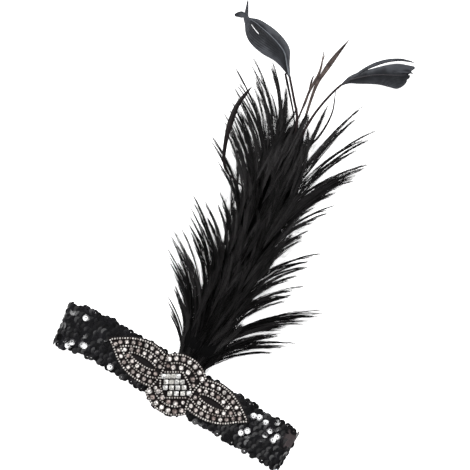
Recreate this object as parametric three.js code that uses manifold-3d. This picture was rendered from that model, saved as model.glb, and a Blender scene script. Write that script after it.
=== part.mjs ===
// Feather headband: a stretch sequin loop lying folded flat, with a beaded ornament and a plume.
// Millimetres. X runs along the band, Y towards the plume's tip, and Z up from the surface it lies on.
// The origin is on that surface, under the middle of the ornament.

import * as THREE from 'three';
import { LoftGeometry } from 'three/addons/geometries/LoftGeometry.js';
import { mergeVertices } from 'three/addons/utils/BufferGeometryUtils.js';
import Module from 'manifold-3d';

const wasm = await Module();
wasm.setup();

// Clearance between pieces that lie against each other
const GAP = 0.3;

// Facets flatter than this are joined
const FACET_TOLERANCE = 0.03;

// Sequin band
const LOOP_LENGTH = 498; // once round the loop, along the middle of its wall
const BAND_WIDTH = 38;
const BAND_WALL = 3; // elastic cloth under a layer of cup sequins
const HEAD_HOLLOW = 8; // height left open between the two layers
const BAND_OFFSET = -0.75; // middle of the band from the middle of the ornament
const BAND_SAG = 5; // how far the left end drops sideways
const BAND_SAG_LENGTH = 40;
const SEQUIN_ROWS = 7;
const SEQUIN_RELIEF = 0.9; // depth of the valley between two rows
const SCALLOP_PITCH = 23; // length of one edge scallop and the dip before it, over the sequins
const BEND_STEPS = 6; // facets round each fold of the loop
const EDGE_SCALLOP = 0.7; // sequins standing past the edge

// Ornament
const FELT_THICKNESS = 1.5;
const FELT_MARGIN = 0.07; // felt past the outer bead row, as a share of the ring between eye and rim
const EMBROIDERY_THICKNESS = 1;
const SHEET_PITCH = 6; // facets of the curved sheet that felt and embroidery follow
const SHEET_MARGIN = 1.1; // the sheet is made this much larger before it is cut to the outline
const MEDALLION_RADIUS = 29.3;
const MEDALLION_WAIST = 18; // half width where the wings run in
const MEDALLION_FLARE = 9.5; // how much wider it is at its top and bottom
const WING_REACH = 74.5; // from the middle to the wing's tip
const WING_HEIGHT = 37;
const WING_MIDDLE_Y = 3;
const WING_RING_POINTS = 160; // fineness at which a ring is cut off at the medallion
const OUTLINE_STEPS = 18; // facets down one side of the medallion
const SLOPE_ACROSS = 24.8; // lengths over which the ornament comes down from the quills
const SLOPE_DOWN = 18.2;
const EYE_LENGTH = 24;
const EYE_HEIGHT = 4.6;
const EYE_OUT = 37.5; // middle of the eye from the middle of the ornament
const BEAD_ROW_WIDTH = 1.6;
const BEAD_ROW_HEIGHT = 1.2;
const BEAD_ROW_STEP = 8; // longest straight piece of a bead row
const ROUND_STONE = 4; // across its cup
const STONE_FACETS = 8;
const CUP_HEIGHT = 0.9; // over the embroidery
const CROWN_HEIGHT = 0.9;
const TABLE_SHARE = 0.6; // a stone's table over its girdle
const ROOT_DEPTH = 0.4; // how deep stones and bead rows are set in the embroidery
const SQUARE_STONE = 4.2;
const SQUARE_ROW_PITCH = 5.3;
const SQUARE_TURN = 31; // degrees that the rows of square stones are turned by
const SQUARE_CUP = 1.2;
const SQUARE_CROWN = 1.1;
const SQUARE_CORNER = 0.7; // where its cut corners start, as a share of half its side

// Plume
const QUILL_WIDTH = 30; // bundle of quills under the ornament
const QUILL_THICKNESS = 3.4;
const QUILL_TUCK = 32; // length of the bundle under the ornament
const PLUME_LENGTH = 234; // from the ornament to the end of the dense part
const PLUME_SPREAD = 100; // sideways reach of the longest barbs
const PLUME_THICKNESS = 27;
const PLUME_BOW = 24; // how far the tip of its axis leans to the left
const PLUME_BOW_POWER = 1.8; // more puts the lean nearer the tip
const PLUME_DROP = 42; // length over which it comes down from the band to the surface
const LOCK_WIDTH = 17; // widest lock of barbs
const LOCK_FLATNESS = 0.34; // a lock's thickness over its width
const LOCK_STEPS = 4;
const LOCK_POINT = 0.07; // its width at the tip over that at its root
const LOCK_BEND_OUT = 0.38; // where a lock turns outwards, as shares of its way out and ahead
const LOCK_BEND_AHEAD = 0.6;
const SIDE_LOCK_RISE = 0.25; // height of a side lock's tip in the table, over the plume's thickness
const TOP_LOCK_SINK = 0.14; // how deep a top lock's root is set in, as a share of its width
const RING_CORNERS = 10; // corners of one section of the plume's body
const RING_SQUARENESS = 0.75; // 1 is an ellipse, less is fuller

// Trimmed feathers at the tip
const STEM_WIDTH = 1.5;
const BLADE_THICKNESS = 1.2;
const LEFT_LEAF_LENGTH = 68.5;
const LEFT_LEAF_WIDTH = 27;
const LEFT_LEAF_DIRECTION = 156.8; // degrees from the band's direction
const RIGHT_LEAF_LENGTH = 68;
const RIGHT_LEAF_WIDTH = 26;
const RIGHT_LEAF_DIRECTION = 36.2;
const LEAF_CAMBER = 3; // rise of the blade's middle over its edges
const STRIP_WIDTH = 4.6; // widest place of the narrow strips
const STRIP_FLATNESS = 0.25; // a strip's thickness over its width
const STRIP_ROOT = 0.3; // its width at the root over its widest
const SPEAR_WIDTH_SHARE = 0.85; // the two upright strips are narrower than the curled one
const SPLIT_WIDTH_SHARE = 0.6;

// Heights that follow from the sizes above
const BEND_RADIUS = (HEAD_HOLLOW + BAND_WALL) / 2;
const BAND_TOP = HEAD_HOLLOW + 2 * BAND_WALL;
const BAND_STRAIGHT = (LOOP_LENGTH - 2 * Math.PI * BEND_RADIUS) / 2;
const FELT_BOTTOM = BAND_TOP + GAP;
const QUILL_LIFT = QUILL_THICKNESS + GAP;
const BASE_BOTTOM = FELT_BOTTOM + FELT_THICKNESS + GAP;
const BASE_TOP = BASE_BOTTOM + EMBROIDERY_THICKNESS;

// Rim of a wing: distance out as a share of its reach, top and bottom as shares of its height
const WING_RIM = [
  { out: 0.15, top: 0.34, bottom: -0.36 },
  { out: 0.30, top: 0.43, bottom: -0.47 },
  { out: 0.40, top: 0.485, bottom: -0.49 },
  { out: 0.50, top: 0.51, bottom: -0.485 },
  { out: 0.60, top: 0.48, bottom: -0.45 },
  { out: 0.70, top: 0.42, bottom: -0.385 },
  { out: 0.80, top: 0.33, bottom: -0.27 },
  { out: 0.90, top: 0.205, bottom: -0.105 },
  { out: 1.00, top: 0.06, bottom: 0.03 },
];

// Rings of a wing, from the eye (0) to the rim (1): where each lies and how many stones it holds
const WING_BEAD_RINGS = [0.1, 0.5, 0.95];
const WING_STONE_RINGS = [
  { ring: 0.3, stones: 13 },
  { ring: 0.73, stones: 17 },
];

// Arcs of the medallion: radius as a share of its own, half angle in degrees, stones at the top and bottom
const MEDALLION_STONE_ARCS = [
  { radius: 0.83, halfAngle: 43, top: 7, bottom: 7 },
  { radius: 0.565, halfAngle: 38, top: 5, bottom: 4 },
];
const MEDALLION_BEAD_ARCS = [
  { radius: 0.955, halfAngle: 44 },
  { radius: 0.69, halfAngle: 40 },
];

// Rows of four square stones: the first stone's place and the pitch, as shares of a stone's side
const SQUARE_ROWS = [
  { first: -2.72, pitch: 1.09 },
  { first: -2.12, pitch: 1.17 },
  { first: -2.33, pitch: 1.38 },
  { first: -1.29, pitch: 1.40 },
];
const STONES_PER_ROW = 4;

// Bundle of quills: how far back under the ornament and how wide, as shares
const QUILL_SECTIONS = [
  { back: 1.00, wide: 0.64 },
  { back: 0.33, wide: 0.90 },
];

// Dense part of the plume: place along its length, edges as shares of the spread, depth as a share
const PLUME_SECTIONS = [
  { along: 0.00, left: 0.14, right: 0.16, deep: 0.12 },
  { along: 0.05, left: 0.18, right: 0.22, deep: 0.42 },
  { along: 0.13, left: 0.24, right: 0.28, deep: 0.74 },
  { along: 0.21, left: 0.25, right: 0.25, deep: 0.90 },
  { along: 0.30, left: 0.21, right: 0.22, deep: 0.96 },
  { along: 0.39, left: 0.28, right: 0.25, deep: 1.00 },
  { along: 0.52, left: 0.30, right: 0.24, deep: 1.00 },
  { along: 0.68, left: 0.35, right: 0.28, deep: 0.92 },
  { along: 0.78, left: 0.37, right: 0.27, deep: 0.80 },
  { along: 0.87, left: 0.31, right: 0.20, deep: 0.64 },
  { along: 0.95, left: 0.19, right: 0.11, deep: 0.48 },
  { along: 1.00, left: 0.12, right: 0.06, deep: 0.40 },
];

// Locks of barbs at the sides: where the lock leaves the axis and how far ahead its tip is, as shares
// of the plume's length; its tip sideways as a share of the spread; width and height as shares
const SIDE_LOCKS = [
  { leaves: 0.02, ahead: 0.11, side: -0.47, wide: 0.25, high: 0.55 },
  { leaves: 0.04, ahead: 0.18, side: -0.54, wide: 0.55, high: 0.50 },
  { leaves: 0.08, ahead: 0.21, side: -0.70, wide: 0.30, high: 0.42 },
  { leaves: 0.09, ahead: 0.28, side: -0.77, wide: 1.00, high: 0.40 },
  { leaves: 0.15, ahead: 0.24, side: -0.69, wide: 0.70, high: 0.60 },
  { leaves: 0.25, ahead: 0.20, side: -0.67, wide: 0.75, high: 0.36 },
  { leaves: 0.30, ahead: 0.23, side: -0.74, wide: 0.70, high: 0.50 },
  { leaves: 0.34, ahead: 0.19, side: -0.60, wide: 0.80, high: 0.68 },
  { leaves: 0.40, ahead: 0.19, side: -0.51, wide: 0.70, high: 0.40 },
  { leaves: 0.46, ahead: 0.20, side: -0.45, wide: 0.80, high: 0.34 },
  { leaves: 0.56, ahead: 0.21, side: -0.81, wide: 0.50, high: 0.30 },
  { leaves: 0.60, ahead: 0.27, side: -0.81, wide: 0.85, high: 0.38 },
  { leaves: 0.67, ahead: 0.26, side: -0.80, wide: 0.80, high: 0.28 },
  { leaves: 0.72, ahead: 0.26, side: -0.81, wide: 1.00, high: 0.38 },
  { leaves: 0.79, ahead: 0.26, side: -0.88, wide: 0.25, high: 0.24 },
  { leaves: 0.83, ahead: 0.29, side: -0.78, wide: 1.00, high: 0.34 },
  { leaves: 0.89, ahead: 0.25, side: -0.57, wide: 0.30, high: 0.20 },
  { leaves: 0.03, ahead: 0.16, side: 0.63, wide: 0.80, high: 0.45 },
  { leaves: 0.04, ahead: 0.22, side: 0.64, wide: 0.85, high: 0.58 },
  { leaves: 0.09, ahead: 0.28, side: 0.80, wide: 0.30, high: 0.40 },
  { leaves: 0.10, ahead: 0.22, side: 0.64, wide: 0.45, high: 0.60 },
  { leaves: 0.12, ahead: 0.29, side: 0.84, wide: 0.50, high: 0.64 },
  { leaves: 0.24, ahead: 0.21, side: 0.57, wide: 0.85, high: 0.44 },
  { leaves: 0.30, ahead: 0.22, side: 0.50, wide: 0.60, high: 0.60 },
  { leaves: 0.36, ahead: 0.23, side: 0.55, wide: 0.35, high: 0.34 },
  { leaves: 0.44, ahead: 0.20, side: 0.35, wide: 0.70, high: 0.50 },
  { leaves: 0.55, ahead: 0.23, side: 0.47, wide: 0.45, high: 0.40 },
  { leaves: 0.59, ahead: 0.23, side: 0.37, wide: 0.70, high: 0.62 },
  { leaves: 0.64, ahead: 0.29, side: 0.53, wide: 0.70, high: 0.30 },
  { leaves: 0.67, ahead: 0.32, side: 0.58, wide: 1.00, high: 0.44 },
  { leaves: 0.74, ahead: 0.38, side: 0.51, wide: 0.55, high: 0.40 },
  { leaves: 0.83, ahead: 0.35, side: 0.32, wide: 0.50, high: 0.34 },
  { leaves: 0.92, ahead: 0.18, side: 0.06, wide: 0.25, high: 0.26 },
];

// Locks that lie over the plume's top like shingles, alternating right and left
const TOP_LOCKS = 20;
const TOP_LOCK_START = 0.06; // where the first one leaves, as a share of the plume's length
const TOP_LOCK_END = 0.82;
const TOP_LOCK_LENGTH = 0.17;
const TOP_LOCK_REACH = 1.12; // how far out its tip is, as a share of the dense part's edge
const TOP_LOCK_WIDTH = 0.95; // share of the widest lock

// Blades of the leaf feathers: distance from the base and both edges, as shares of length and width
const LEFT_BLADE = [
  { along: 0.00, upper: 0.03, lower: -0.03, rib: 0.0 },
  { along: 0.14, upper: 0.26, lower: -0.03, rib: 0.10 },
  { along: 0.30, upper: 0.56, lower: -0.10, rib: 0.20 },
  { along: 0.47, upper: 0.62, lower: -0.29, rib: 0.20 },
  { along: 0.62, upper: 0.57, lower: -0.39, rib: 0.14 },
  { along: 0.76, upper: 0.46, lower: -0.40, rib: 0.08 },
  { along: 0.90, upper: 0.29, lower: -0.26, rib: 0.04 },
  { along: 1.00, upper: 0.07, lower: -0.07, rib: 0.0 },
];
const RIGHT_BLADE = [
  { along: 0.00, upper: 0.03, lower: -0.03, rib: 0.0 },
  { along: 0.12, upper: 0.31, lower: 0.04, rib: 0.16 },
  { along: 0.25, upper: 0.48, lower: 0.00, rib: 0.22 },
  { along: 0.40, upper: 0.67, lower: -0.04, rib: 0.28 },
  { along: 0.55, upper: 0.74, lower: -0.10, rib: 0.28 },
  { along: 0.70, upper: 0.72, lower: -0.23, rib: 0.24 },
  { along: 0.83, upper: 0.66, lower: -0.34, rib: 0.16 },
  { along: 1.00, upper: 0.42, lower: 0.12, rib: 0.28 },
];

// Where each trimmed feather starts and how it turns: steps ahead and sideways from the plume's tip,
// as shares of the plume's length, and its height over the surface in widths of the strips
const LEFT_STEM = [
  { ahead: -0.050, side: 0.000, high: 2.2 },
  { ahead: 0.020, side: -0.034, high: 2.4 },
  { ahead: 0.085, side: -0.090, high: 2.3 },
  { ahead: 0.152, side: -0.150, high: 1.7 },
];
const RIGHT_STEM = [
  { ahead: -0.050, side: 0.020, high: 2.3 },
  { ahead: 0.000, side: 0.016, high: 2.5 },
  { ahead: 0.080, side: 0.018, high: 2.4 },
  { ahead: 0.165, side: 0.032, high: 2.2 },
  { ahead: 0.229, side: 0.050, high: 1.8 },
];
const SPEAR_PATH = [
  { ahead: -0.050, side: 0.008, high: 1.0 },
  { ahead: 0.000, side: 0.002, high: 1.1 },
  { ahead: 0.160, side: -0.034, high: 1.3 },
  { ahead: 0.250, side: -0.040, high: 1.1 },
  { ahead: 0.335, side: -0.030, high: 0.8 },
  { ahead: 0.405, side: -0.018, high: 0.6 },
];
const SPLIT_PATH = [
  { ahead: -0.050, side: -0.022, high: 1.0 },
  { ahead: 0.030, side: -0.030, high: 1.1 },
  { ahead: 0.130, side: -0.046, high: 1.2 },
  { ahead: 0.225, side: -0.052, high: 0.9 },
  { ahead: 0.310, side: -0.082, high: 0.6 },
];
const CURL_PATH = [
  { ahead: -0.325, side: -0.080, high: 4.2 },
  { ahead: -0.310, side: -0.155, high: 4.2 },
  { ahead: -0.275, side: -0.195, high: 4.2 },
  { ahead: -0.200, side: -0.230, high: 4.3 },
  { ahead: -0.125, side: -0.252, high: 4.3 },
  { ahead: -0.060, side: -0.262, high: 4.2 },
  { ahead: 0.000, side: -0.256, high: 3.9 },
  { ahead: 0.038, side: -0.250, high: 3.6 },
];

const FINISHES = {
  sequins: { color: 0x1a1a1e, roughness: 0.3, metalness: 0.2 },
  felt: { color: 0x141213, roughness: 0.95, metalness: 0 },
  beadwork: { color: 0x9a908c, roughness: 0.35, metalness: 0.7 },
  stones: { color: 0xe8e6e0, roughness: 0.08, metalness: 0.1 },
  hackle: { color: 0x141414, roughness: 0.6, metalness: 0 },
  leaf: { color: 0x44464a, roughness: 0.55, metalness: 0 },
  strip: { color: 0x3a3030, roughness: 0.55, metalness: 0 },
};

const headband = new THREE.Group();

// Solids and meshes

function solid(geometry) {
  const bare = new THREE.BufferGeometry();
  bare.setAttribute('position', geometry.attributes.position);
  bare.setIndex(geometry.index);
  const merged = mergeVertices(bare, 1e-4);
  return new wasm.Manifold(new wasm.Mesh({
    numProp: 3,
    vertProperties: new Float32Array(merged.attributes.position.array),
    triVerts: new Uint32Array(merged.index.array),
  }));
}

function join(pieces) {
  return pieces.reduce((whole, piece) => whole.add(piece));
}

function addMesh(name, piece, finish) {
  const { vertProperties, triVerts } = piece.simplify(FACET_TOLERANCE).getMesh();
  const geometry = new THREE.BufferGeometry();
  geometry.setAttribute('position', new THREE.BufferAttribute(vertProperties, 3));
  geometry.setIndex(new THREE.BufferAttribute(triVerts, 1));
  geometry.computeVertexNormals();
  const mesh = new THREE.Mesh(geometry, new THREE.MeshStandardMaterial(FINISHES[finish]));
  mesh.name = name;
  headband.add(mesh);
}

// An outline made as high as the whole ornament, to cut its curved sheets with
function prism(outline) {
  const depth = BASE_TOP + QUILL_LIFT + GAP;
  return solid(new THREE.ExtrudeGeometry(new THREE.Shape(outline), { depth, bevelEnabled: false }));
}

// A flat strand along a path: a ring of four corners at each step, across the path and up and down
function strand(path, steps, halfWidth, flatness, grow = 0) {
  const sections = [];
  for (let i = 0; i <= steps; i++) {
    const share = i / steps;
    const centre = path.getPoint(share);
    const ahead = path.getTangent(share);
    const across = new THREE.Vector3(-ahead.y, ahead.x, 0).normalize();
    if (i === 0) centre.addScaledVector(ahead, -grow);
    const half = halfWidth(share) + grow;
    const thick = Math.max(BLADE_THICKNESS / 2, halfWidth(share) * flatness) + grow;
    sections.push([
      centre.clone().addScaledVector(across, half),
      centre.clone().add(new THREE.Vector3(0, 0, thick)),
      centre.clone().addScaledVector(across, -half),
      centre.clone().add(new THREE.Vector3(0, 0, -thick)),
    ]);
  }
  return solid(new LoftGeometry(sections, { capStart: true, capEnd: true }));
}

// Sequin band: one section of the wall, swept once round the flattened loop

function bandStations() {
  const stations = [];
  const runSteps = 2 * Math.round(BAND_STRAIGHT / SCALLOP_PITCH);
  const level = BAND_TOP / 2;
  for (let i = 0; i < runSteps; i++) {
    const x = BAND_OFFSET - BAND_STRAIGHT / 2 + (BAND_STRAIGHT * i) / runSteps;
    stations.push({ x, z: level + BEND_RADIUS, outX: 0, outZ: 1, resting: false });
  }
  for (let i = 0; i < BEND_STEPS; i++) {
    const turn = Math.PI / 2 - (Math.PI * i) / BEND_STEPS;
    const x = BAND_OFFSET + BAND_STRAIGHT / 2 + BEND_RADIUS * Math.cos(turn);
    const z = level + BEND_RADIUS * Math.sin(turn);
    stations.push({ x, z, outX: Math.cos(turn), outZ: Math.sin(turn), resting: false });
  }
  const topCount = stations.length;
  for (let i = 0; i < topCount; i++) {
    const { x, z, outX, outZ } = stations[i];
    const resting = i <= runSteps;
    stations.push({ x: 2 * BAND_OFFSET - x, z: 2 * level - z, outX: -outX, outZ: -outZ, resting });
  }
  return stations;
}

function bandShift(x) {
  const sagStart = BAND_OFFSET - BAND_STRAIGHT / 2 + BAND_SAG_LENGTH;
  const share = THREE.MathUtils.clamp((sagStart - x) / BAND_SAG_LENGTH, 0, 1);
  return -BAND_SAG * share * share;
}

function bandSection({ x, z, outX, outZ, resting }, index) {
  const points = [];
  const scallop = index % 2 === 0 ? EDGE_SCALLOP : 0;
  const halfWidth = BAND_WIDTH / 2 + scallop;
  const shift = bandShift(x);
  for (let i = 0; i <= 2 * SEQUIN_ROWS; i++) {
    const valley = i % 2 === 0 && !resting ? SEQUIN_RELIEF : 0;
    const out = BAND_WALL / 2 - valley;
    const y = halfWidth - (2 * halfWidth * i) / (2 * SEQUIN_ROWS);
    points.push(new THREE.Vector3(x + out * outX, y + shift, z + out * outZ));
  }
  for (const y of [-halfWidth, halfWidth]) {
    const out = -BAND_WALL / 2;
    points.push(new THREE.Vector3(x + out * outX, y + shift, z + out * outZ));
  }
  return points;
}

const bandSections = bandStations().map(bandSection);
bandSections.push(bandSections[0].map((point) => point.clone()));
addMesh('sequin_band', solid(new LoftGeometry(bandSections)), 'sequins');

// Ornament: felt and embroidery follow one curved sheet, which rises over the quills

const feltGrow = (FELT_MARGIN * (WING_HEIGHT - EYE_HEIGHT)) / 2;
const plumeStart = MEDALLION_RADIUS + feltGrow + GAP;

function ease(share) {
  const inside = THREE.MathUtils.clamp(share, 0, 1);
  return (1 - Math.cos(Math.PI * inside)) / 2;
}

function lift(x, y) {
  const flatX = QUILL_WIDTH / 2 + SHEET_PITCH;
  const flatY = plumeStart - QUILL_TUCK - SHEET_PITCH;
  const across = 1 - ease((Math.abs(x - quillMiddle()) - flatX) / SLOPE_ACROSS);
  const along = ease((y - flatY + SLOPE_DOWN) / SLOPE_DOWN);
  return QUILL_LIFT * across * along;
}

function quillMiddle() {
  return (PLUME_SPREAD * (PLUME_SECTIONS[0].right - PLUME_SECTIONS[0].left)) / 2;
}

function sheet(low, high) {
  const reachX = WING_REACH * SHEET_MARGIN;
  const reachY = MEDALLION_RADIUS * SHEET_MARGIN;
  const columns = Math.round((2 * reachX) / SHEET_PITCH);
  const rows = Math.round((2 * reachY) / SHEET_PITCH);
  const sections = [];
  for (let column = 0; column <= columns; column++) {
    const x = -reachX + (2 * reachX * column) / columns;
    const ring = [];
    for (let row = 0; row <= rows; row++) {
      const y = reachY - (2 * reachY * row) / rows;
      ring.push(new THREE.Vector3(x, y, high + lift(x, y)));
    }
    for (let row = rows; row >= 0; row--) {
      const y = reachY - (2 * reachY * row) / rows;
      ring.push(new THREE.Vector3(x, y, low + lift(x, y)));
    }
    sections.push(ring);
  }
  return solid(new LoftGeometry(sections, { capStart: true, capEnd: true }));
}

function medallionHalfWidth(y, grow) {
  const radius = MEDALLION_RADIUS + grow;
  const round = Math.sqrt(Math.max(0, radius * radius - y * y));
  const sides = MEDALLION_WAIST + grow + MEDALLION_FLARE * (y / MEDALLION_RADIUS) ** 2;
  return Math.min(round, sides);
}

function medallionOutline(grow = 0) {
  const right = [];
  for (let i = 0; i <= OUTLINE_STEPS; i++) {
    const y = -(MEDALLION_RADIUS + grow) * Math.cos((Math.PI * i) / OUTLINE_STEPS);
    right.push(new THREE.Vector2(medallionHalfWidth(y, grow), y));
  }
  const left = right.slice(1, -1).reverse().map((point) => new THREE.Vector2(-point.x, point.y));
  return [...right, ...left];
}

// A ring round a wing's eye: 0 is the eye's edge and 1 the wing's rim
function wingRing(side, ring) {
  const middle = (WING_RIM[0].out + 1) / 2;
  const point = (out, edge, sign) => {
    const reach = (out - middle) / (1 - middle);
    const eyeX = EYE_OUT + (reach * EYE_LENGTH) / 2;
    const eyeY = (sign * EYE_HEIGHT * Math.sqrt(1 - reach * reach)) / 2;
    const x = THREE.MathUtils.lerp(eyeX, out * WING_REACH, ring);
    const y = WING_MIDDLE_Y + THREE.MathUtils.lerp(eyeY, edge * WING_HEIGHT, ring);
    return new THREE.Vector2(side * x, y);
  };
  const top = WING_RIM.map(({ out, top: edge }) => point(out, edge, 1));
  const bottom = WING_RIM.map(({ out, bottom: edge }) => point(out, edge, -1)).reverse();
  return [...top, ...bottom];
}

function wingOutline(side, ring) {
  const outline = wingRing(side, ring);
  return side > 0 ? outline.reverse() : outline;
}

// The stretch of a ring that the medallion leaves clear, as evenly spaced points
function clearStretch(side, ring, clearance, count) {
  const curve = new THREE.SplineCurve(wingRing(side, ring));
  const clear = curve.getSpacedPoints(WING_RING_POINTS).filter((point) => (
    Math.abs(point.x) > medallionHalfWidth(point.y, clearance)
  ));
  return new THREE.SplineCurve(clear).getSpacedPoints(count - 1);
}

function roundStone({ x, y }) {
  const cloth = BASE_TOP + lift(x, y);
  const levels = [
    { z: cloth - ROOT_DEPTH, radius: ROUND_STONE / 2 },
    { z: cloth + CUP_HEIGHT, radius: ROUND_STONE / 2 },
    { z: cloth + CUP_HEIGHT + CROWN_HEIGHT, radius: (ROUND_STONE * TABLE_SHARE) / 2 },
  ];
  const sections = levels.map(({ z, radius }) => Array.from({ length: STONE_FACETS }, (_, i) => {
    const turn = (2 * Math.PI * (i + 0.5)) / STONE_FACETS;
    return new THREE.Vector3(x + radius * Math.cos(turn), y + radius * Math.sin(turn), z);
  }));
  return solid(new LoftGeometry(sections, { capStart: true, capEnd: true }));
}

// A bead row stands on the embroidery as a low ridge with sloping sides
function beadRow(points) {
  const sections = points.map((point, i) => {
    const before = points[Math.max(0, i - 1)];
    const after = points[Math.min(points.length - 1, i + 1)];
    const ahead = new THREE.Vector2().subVectors(after, before).normalize();
    const across = new THREE.Vector2(-ahead.y, ahead.x);
    const cloth = BASE_TOP + lift(point.x, point.y);
    const bottom = cloth - ROOT_DEPTH;
    const top = cloth + BEAD_ROW_HEIGHT;
    const corner = (share, z) => new THREE.Vector3(
      point.x + across.x * BEAD_ROW_WIDTH * share,
      point.y + across.y * BEAD_ROW_WIDTH * share,
      z,
    );
    return [corner(0.5, bottom), corner(0.25, top), corner(-0.25, top), corner(-0.5, bottom)];
  });
  return solid(new LoftGeometry(sections, { capStart: true, capEnd: true }));
}

const feltSheet = sheet(FELT_BOTTOM, FELT_BOTTOM + FELT_THICKNESS);
const baseSheet = sheet(BASE_BOTTOM, BASE_TOP);

const feltPlan = join([
  prism(medallionOutline(feltGrow)),
  prism(wingOutline(-1, 1 + FELT_MARGIN)),
  prism(wingOutline(1, 1 + FELT_MARGIN)),
]);
addMesh('applique_backing', feltSheet.intersect(feltPlan), 'felt');

for (const { name, side } of [{ name: 'left', side: -1 }, { name: 'right', side: 1 }]) {
  const plan = prism(wingOutline(side, 1))
    .subtract(prism(medallionOutline(GAP)))
    .subtract(prism(wingOutline(side, 0)));
  const pieces = [baseSheet.intersect(plan)];
  for (const { ring, stones } of WING_STONE_RINGS) {
    const spots = clearStretch(side, ring, GAP + ROUND_STONE / 2, stones);
    pieces.push(...spots.map(roundStone));
  }
  for (const ring of WING_BEAD_RINGS) {
    const length = new THREE.SplineCurve(wingRing(side, ring)).getLength();
    const clearance = GAP + BEAD_ROW_WIDTH / 2;
    pieces.push(beadRow(clearStretch(side, ring, clearance, Math.round(length / BEAD_ROW_STEP))));
  }
  addMesh(`beadwork_${name}_wing`, join(pieces), 'beadwork');
}

function arcPoints(radius, middle, halfAngle, count) {
  return Array.from({ length: count }, (_, i) => {
    const share = (2 * i) / (count - 1) - 1;
    const turn = THREE.MathUtils.degToRad(middle + halfAngle * share);
    return new THREE.Vector2(radius * Math.cos(turn), radius * Math.sin(turn));
  });
}

const medallionPieces = [baseSheet.intersect(prism(medallionOutline()))];
for (const { radius, halfAngle, top, bottom } of MEDALLION_STONE_ARCS) {
  const arc = radius * MEDALLION_RADIUS;
  const spots = [...arcPoints(arc, 90, halfAngle, top), ...arcPoints(arc, 270, halfAngle, bottom)];
  medallionPieces.push(...spots.map(roundStone));
}
for (const { radius, halfAngle } of MEDALLION_BEAD_ARCS) {
  const arc = radius * MEDALLION_RADIUS;
  const length = 2 * arc * THREE.MathUtils.degToRad(halfAngle);
  for (const middle of [90, 270]) {
    medallionPieces.push(beadRow(arcPoints(arc, middle, halfAngle, Math.round(length / BEAD_ROW_STEP) + 1)));
  }
}
addMesh('beadwork_medallion', join(medallionPieces), 'beadwork');

// Square stones: a square cup with cut corners and a crown of eight facets up to the table

function squareStone(centre) {
  const turn = THREE.MathUtils.degToRad(SQUARE_TURN);
  const bottom = BASE_TOP + QUILL_LIFT + GAP;
  const levels = [
    { z: bottom, half: SQUARE_STONE / 2 },
    { z: bottom + SQUARE_CUP, half: SQUARE_STONE / 2 },
    { z: bottom + SQUARE_CUP + SQUARE_CROWN, half: (SQUARE_STONE * TABLE_SHARE) / 2 },
  ];
  const cut = SQUARE_CORNER;
  const corners = [[1, cut], [cut, 1], [-cut, 1], [-1, cut], [-1, -cut], [-cut, -1], [cut, -1], [1, -cut]];
  const sections = levels.map(({ z, half }) => corners.map(([a, b]) => {
    const spot = new THREE.Vector2(a * half, b * half).rotateAround(new THREE.Vector2(), turn);
    return new THREE.Vector3(centre.x + spot.x, centre.y + spot.y, z);
  }));
  return solid(new LoftGeometry(sections, { capStart: true, capEnd: true }));
}

SQUARE_ROWS.forEach(({ first, pitch }, row) => {
  for (let i = 0; i < STONES_PER_ROW; i++) {
    const along = (first + pitch * i) * SQUARE_STONE;
    const up = SQUARE_ROW_PITCH * ((SQUARE_ROWS.length - 1) / 2 - row);
    const turn = THREE.MathUtils.degToRad(SQUARE_TURN);
    const centre = new THREE.Vector2(along, up).rotateAround(new THREE.Vector2(), turn);
    const number = String(row * STONES_PER_ROW + i + 1).padStart(2, '0');
    addMesh(`square_stone_${number}`, squareStone(centre), 'stones');
  }
});

// Trimmed feathers: stems and strips leave the plume's tip and are set in it with clearance

function plumeAxis(share) {
  const inside = Math.max(0, share);
  const x = quillMiddle() - PLUME_BOW * inside ** PLUME_BOW_POWER;
  return new THREE.Vector2(x, plumeStart + share * PLUME_LENGTH);
}

function tipPath(table) {
  const tip = plumeAxis(1);
  return new THREE.CatmullRomCurve3(table.map(({ ahead, side, high: level }) => new THREE.Vector3(
    tip.x + side * PLUME_LENGTH,
    tip.y + ahead * PLUME_LENGTH,
    level * STRIP_WIDTH,
  )));
}

// A blade: at each row of its table a thin cambered section, from the upper edge over the rib to the lower
function blade(table, length, width, base, direction, droop) {
  const turn = THREE.MathUtils.degToRad(direction);
  const ahead = new THREE.Vector2(Math.cos(turn), Math.sin(turn));
  const across = new THREE.Vector2(-ahead.y, ahead.x);
  const sections = table.map(({ along, upper, lower, rib }) => {
    const edges = ahead.x > 0 ? [upper, (upper + rib) / 2, rib, (lower + rib) / 2, lower]
      : [-lower, -(lower + rib) / 2, -rib, -(upper + rib) / 2, -upper];
    const crown = Math.sin(Math.PI * along) * LEAF_CAMBER;
    const heights = [0, 0.75, 1, 0.75, 0];
    const at = (i, over) => new THREE.Vector3(
      base.x + ahead.x * along * length + across.x * edges[i] * width,
      base.y + ahead.y * along * length + across.y * edges[i] * width,
      base.z - droop * along + crown * heights[i] + over,
    );
    const top = [0, 1, 2, 3, 4].map((i) => at(i, BLADE_THICKNESS / 2));
    const under = [4, 3, 2, 1, 0].map((i) => at(i, -BLADE_THICKNESS / 2));
    return [...top, ...under];
  });
  return solid(new LoftGeometry(sections, { capStart: true, capEnd: true }));
}

function stem(table, grow) {
  return strand(tipPath(table), 3 * (table.length - 1), () => STEM_WIDTH / 2, 1, grow);
}

function leafFeather(table, blades, length, width, direction) {
  const path = tipPath(table);
  const base = path.getPoint(1);
  const droop = base.z - 2 * BLADE_THICKNESS;
  base.addScaledVector(path.getTangent(1), -STEM_WIDTH);
  return stem(table, 0).add(blade(blades, length, width, base, direction, droop));
}

// A strip is narrow at its root, widest at two thirds and ends in a point
function stripHalfWidth(wide) {
  return (share) => {
    const swell = Math.sin(Math.PI * share ** 1.4) ** 0.8;
    return (STRIP_WIDTH / 2) * wide * THREE.MathUtils.lerp(STRIP_ROOT, 1, swell);
  };
}

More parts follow.
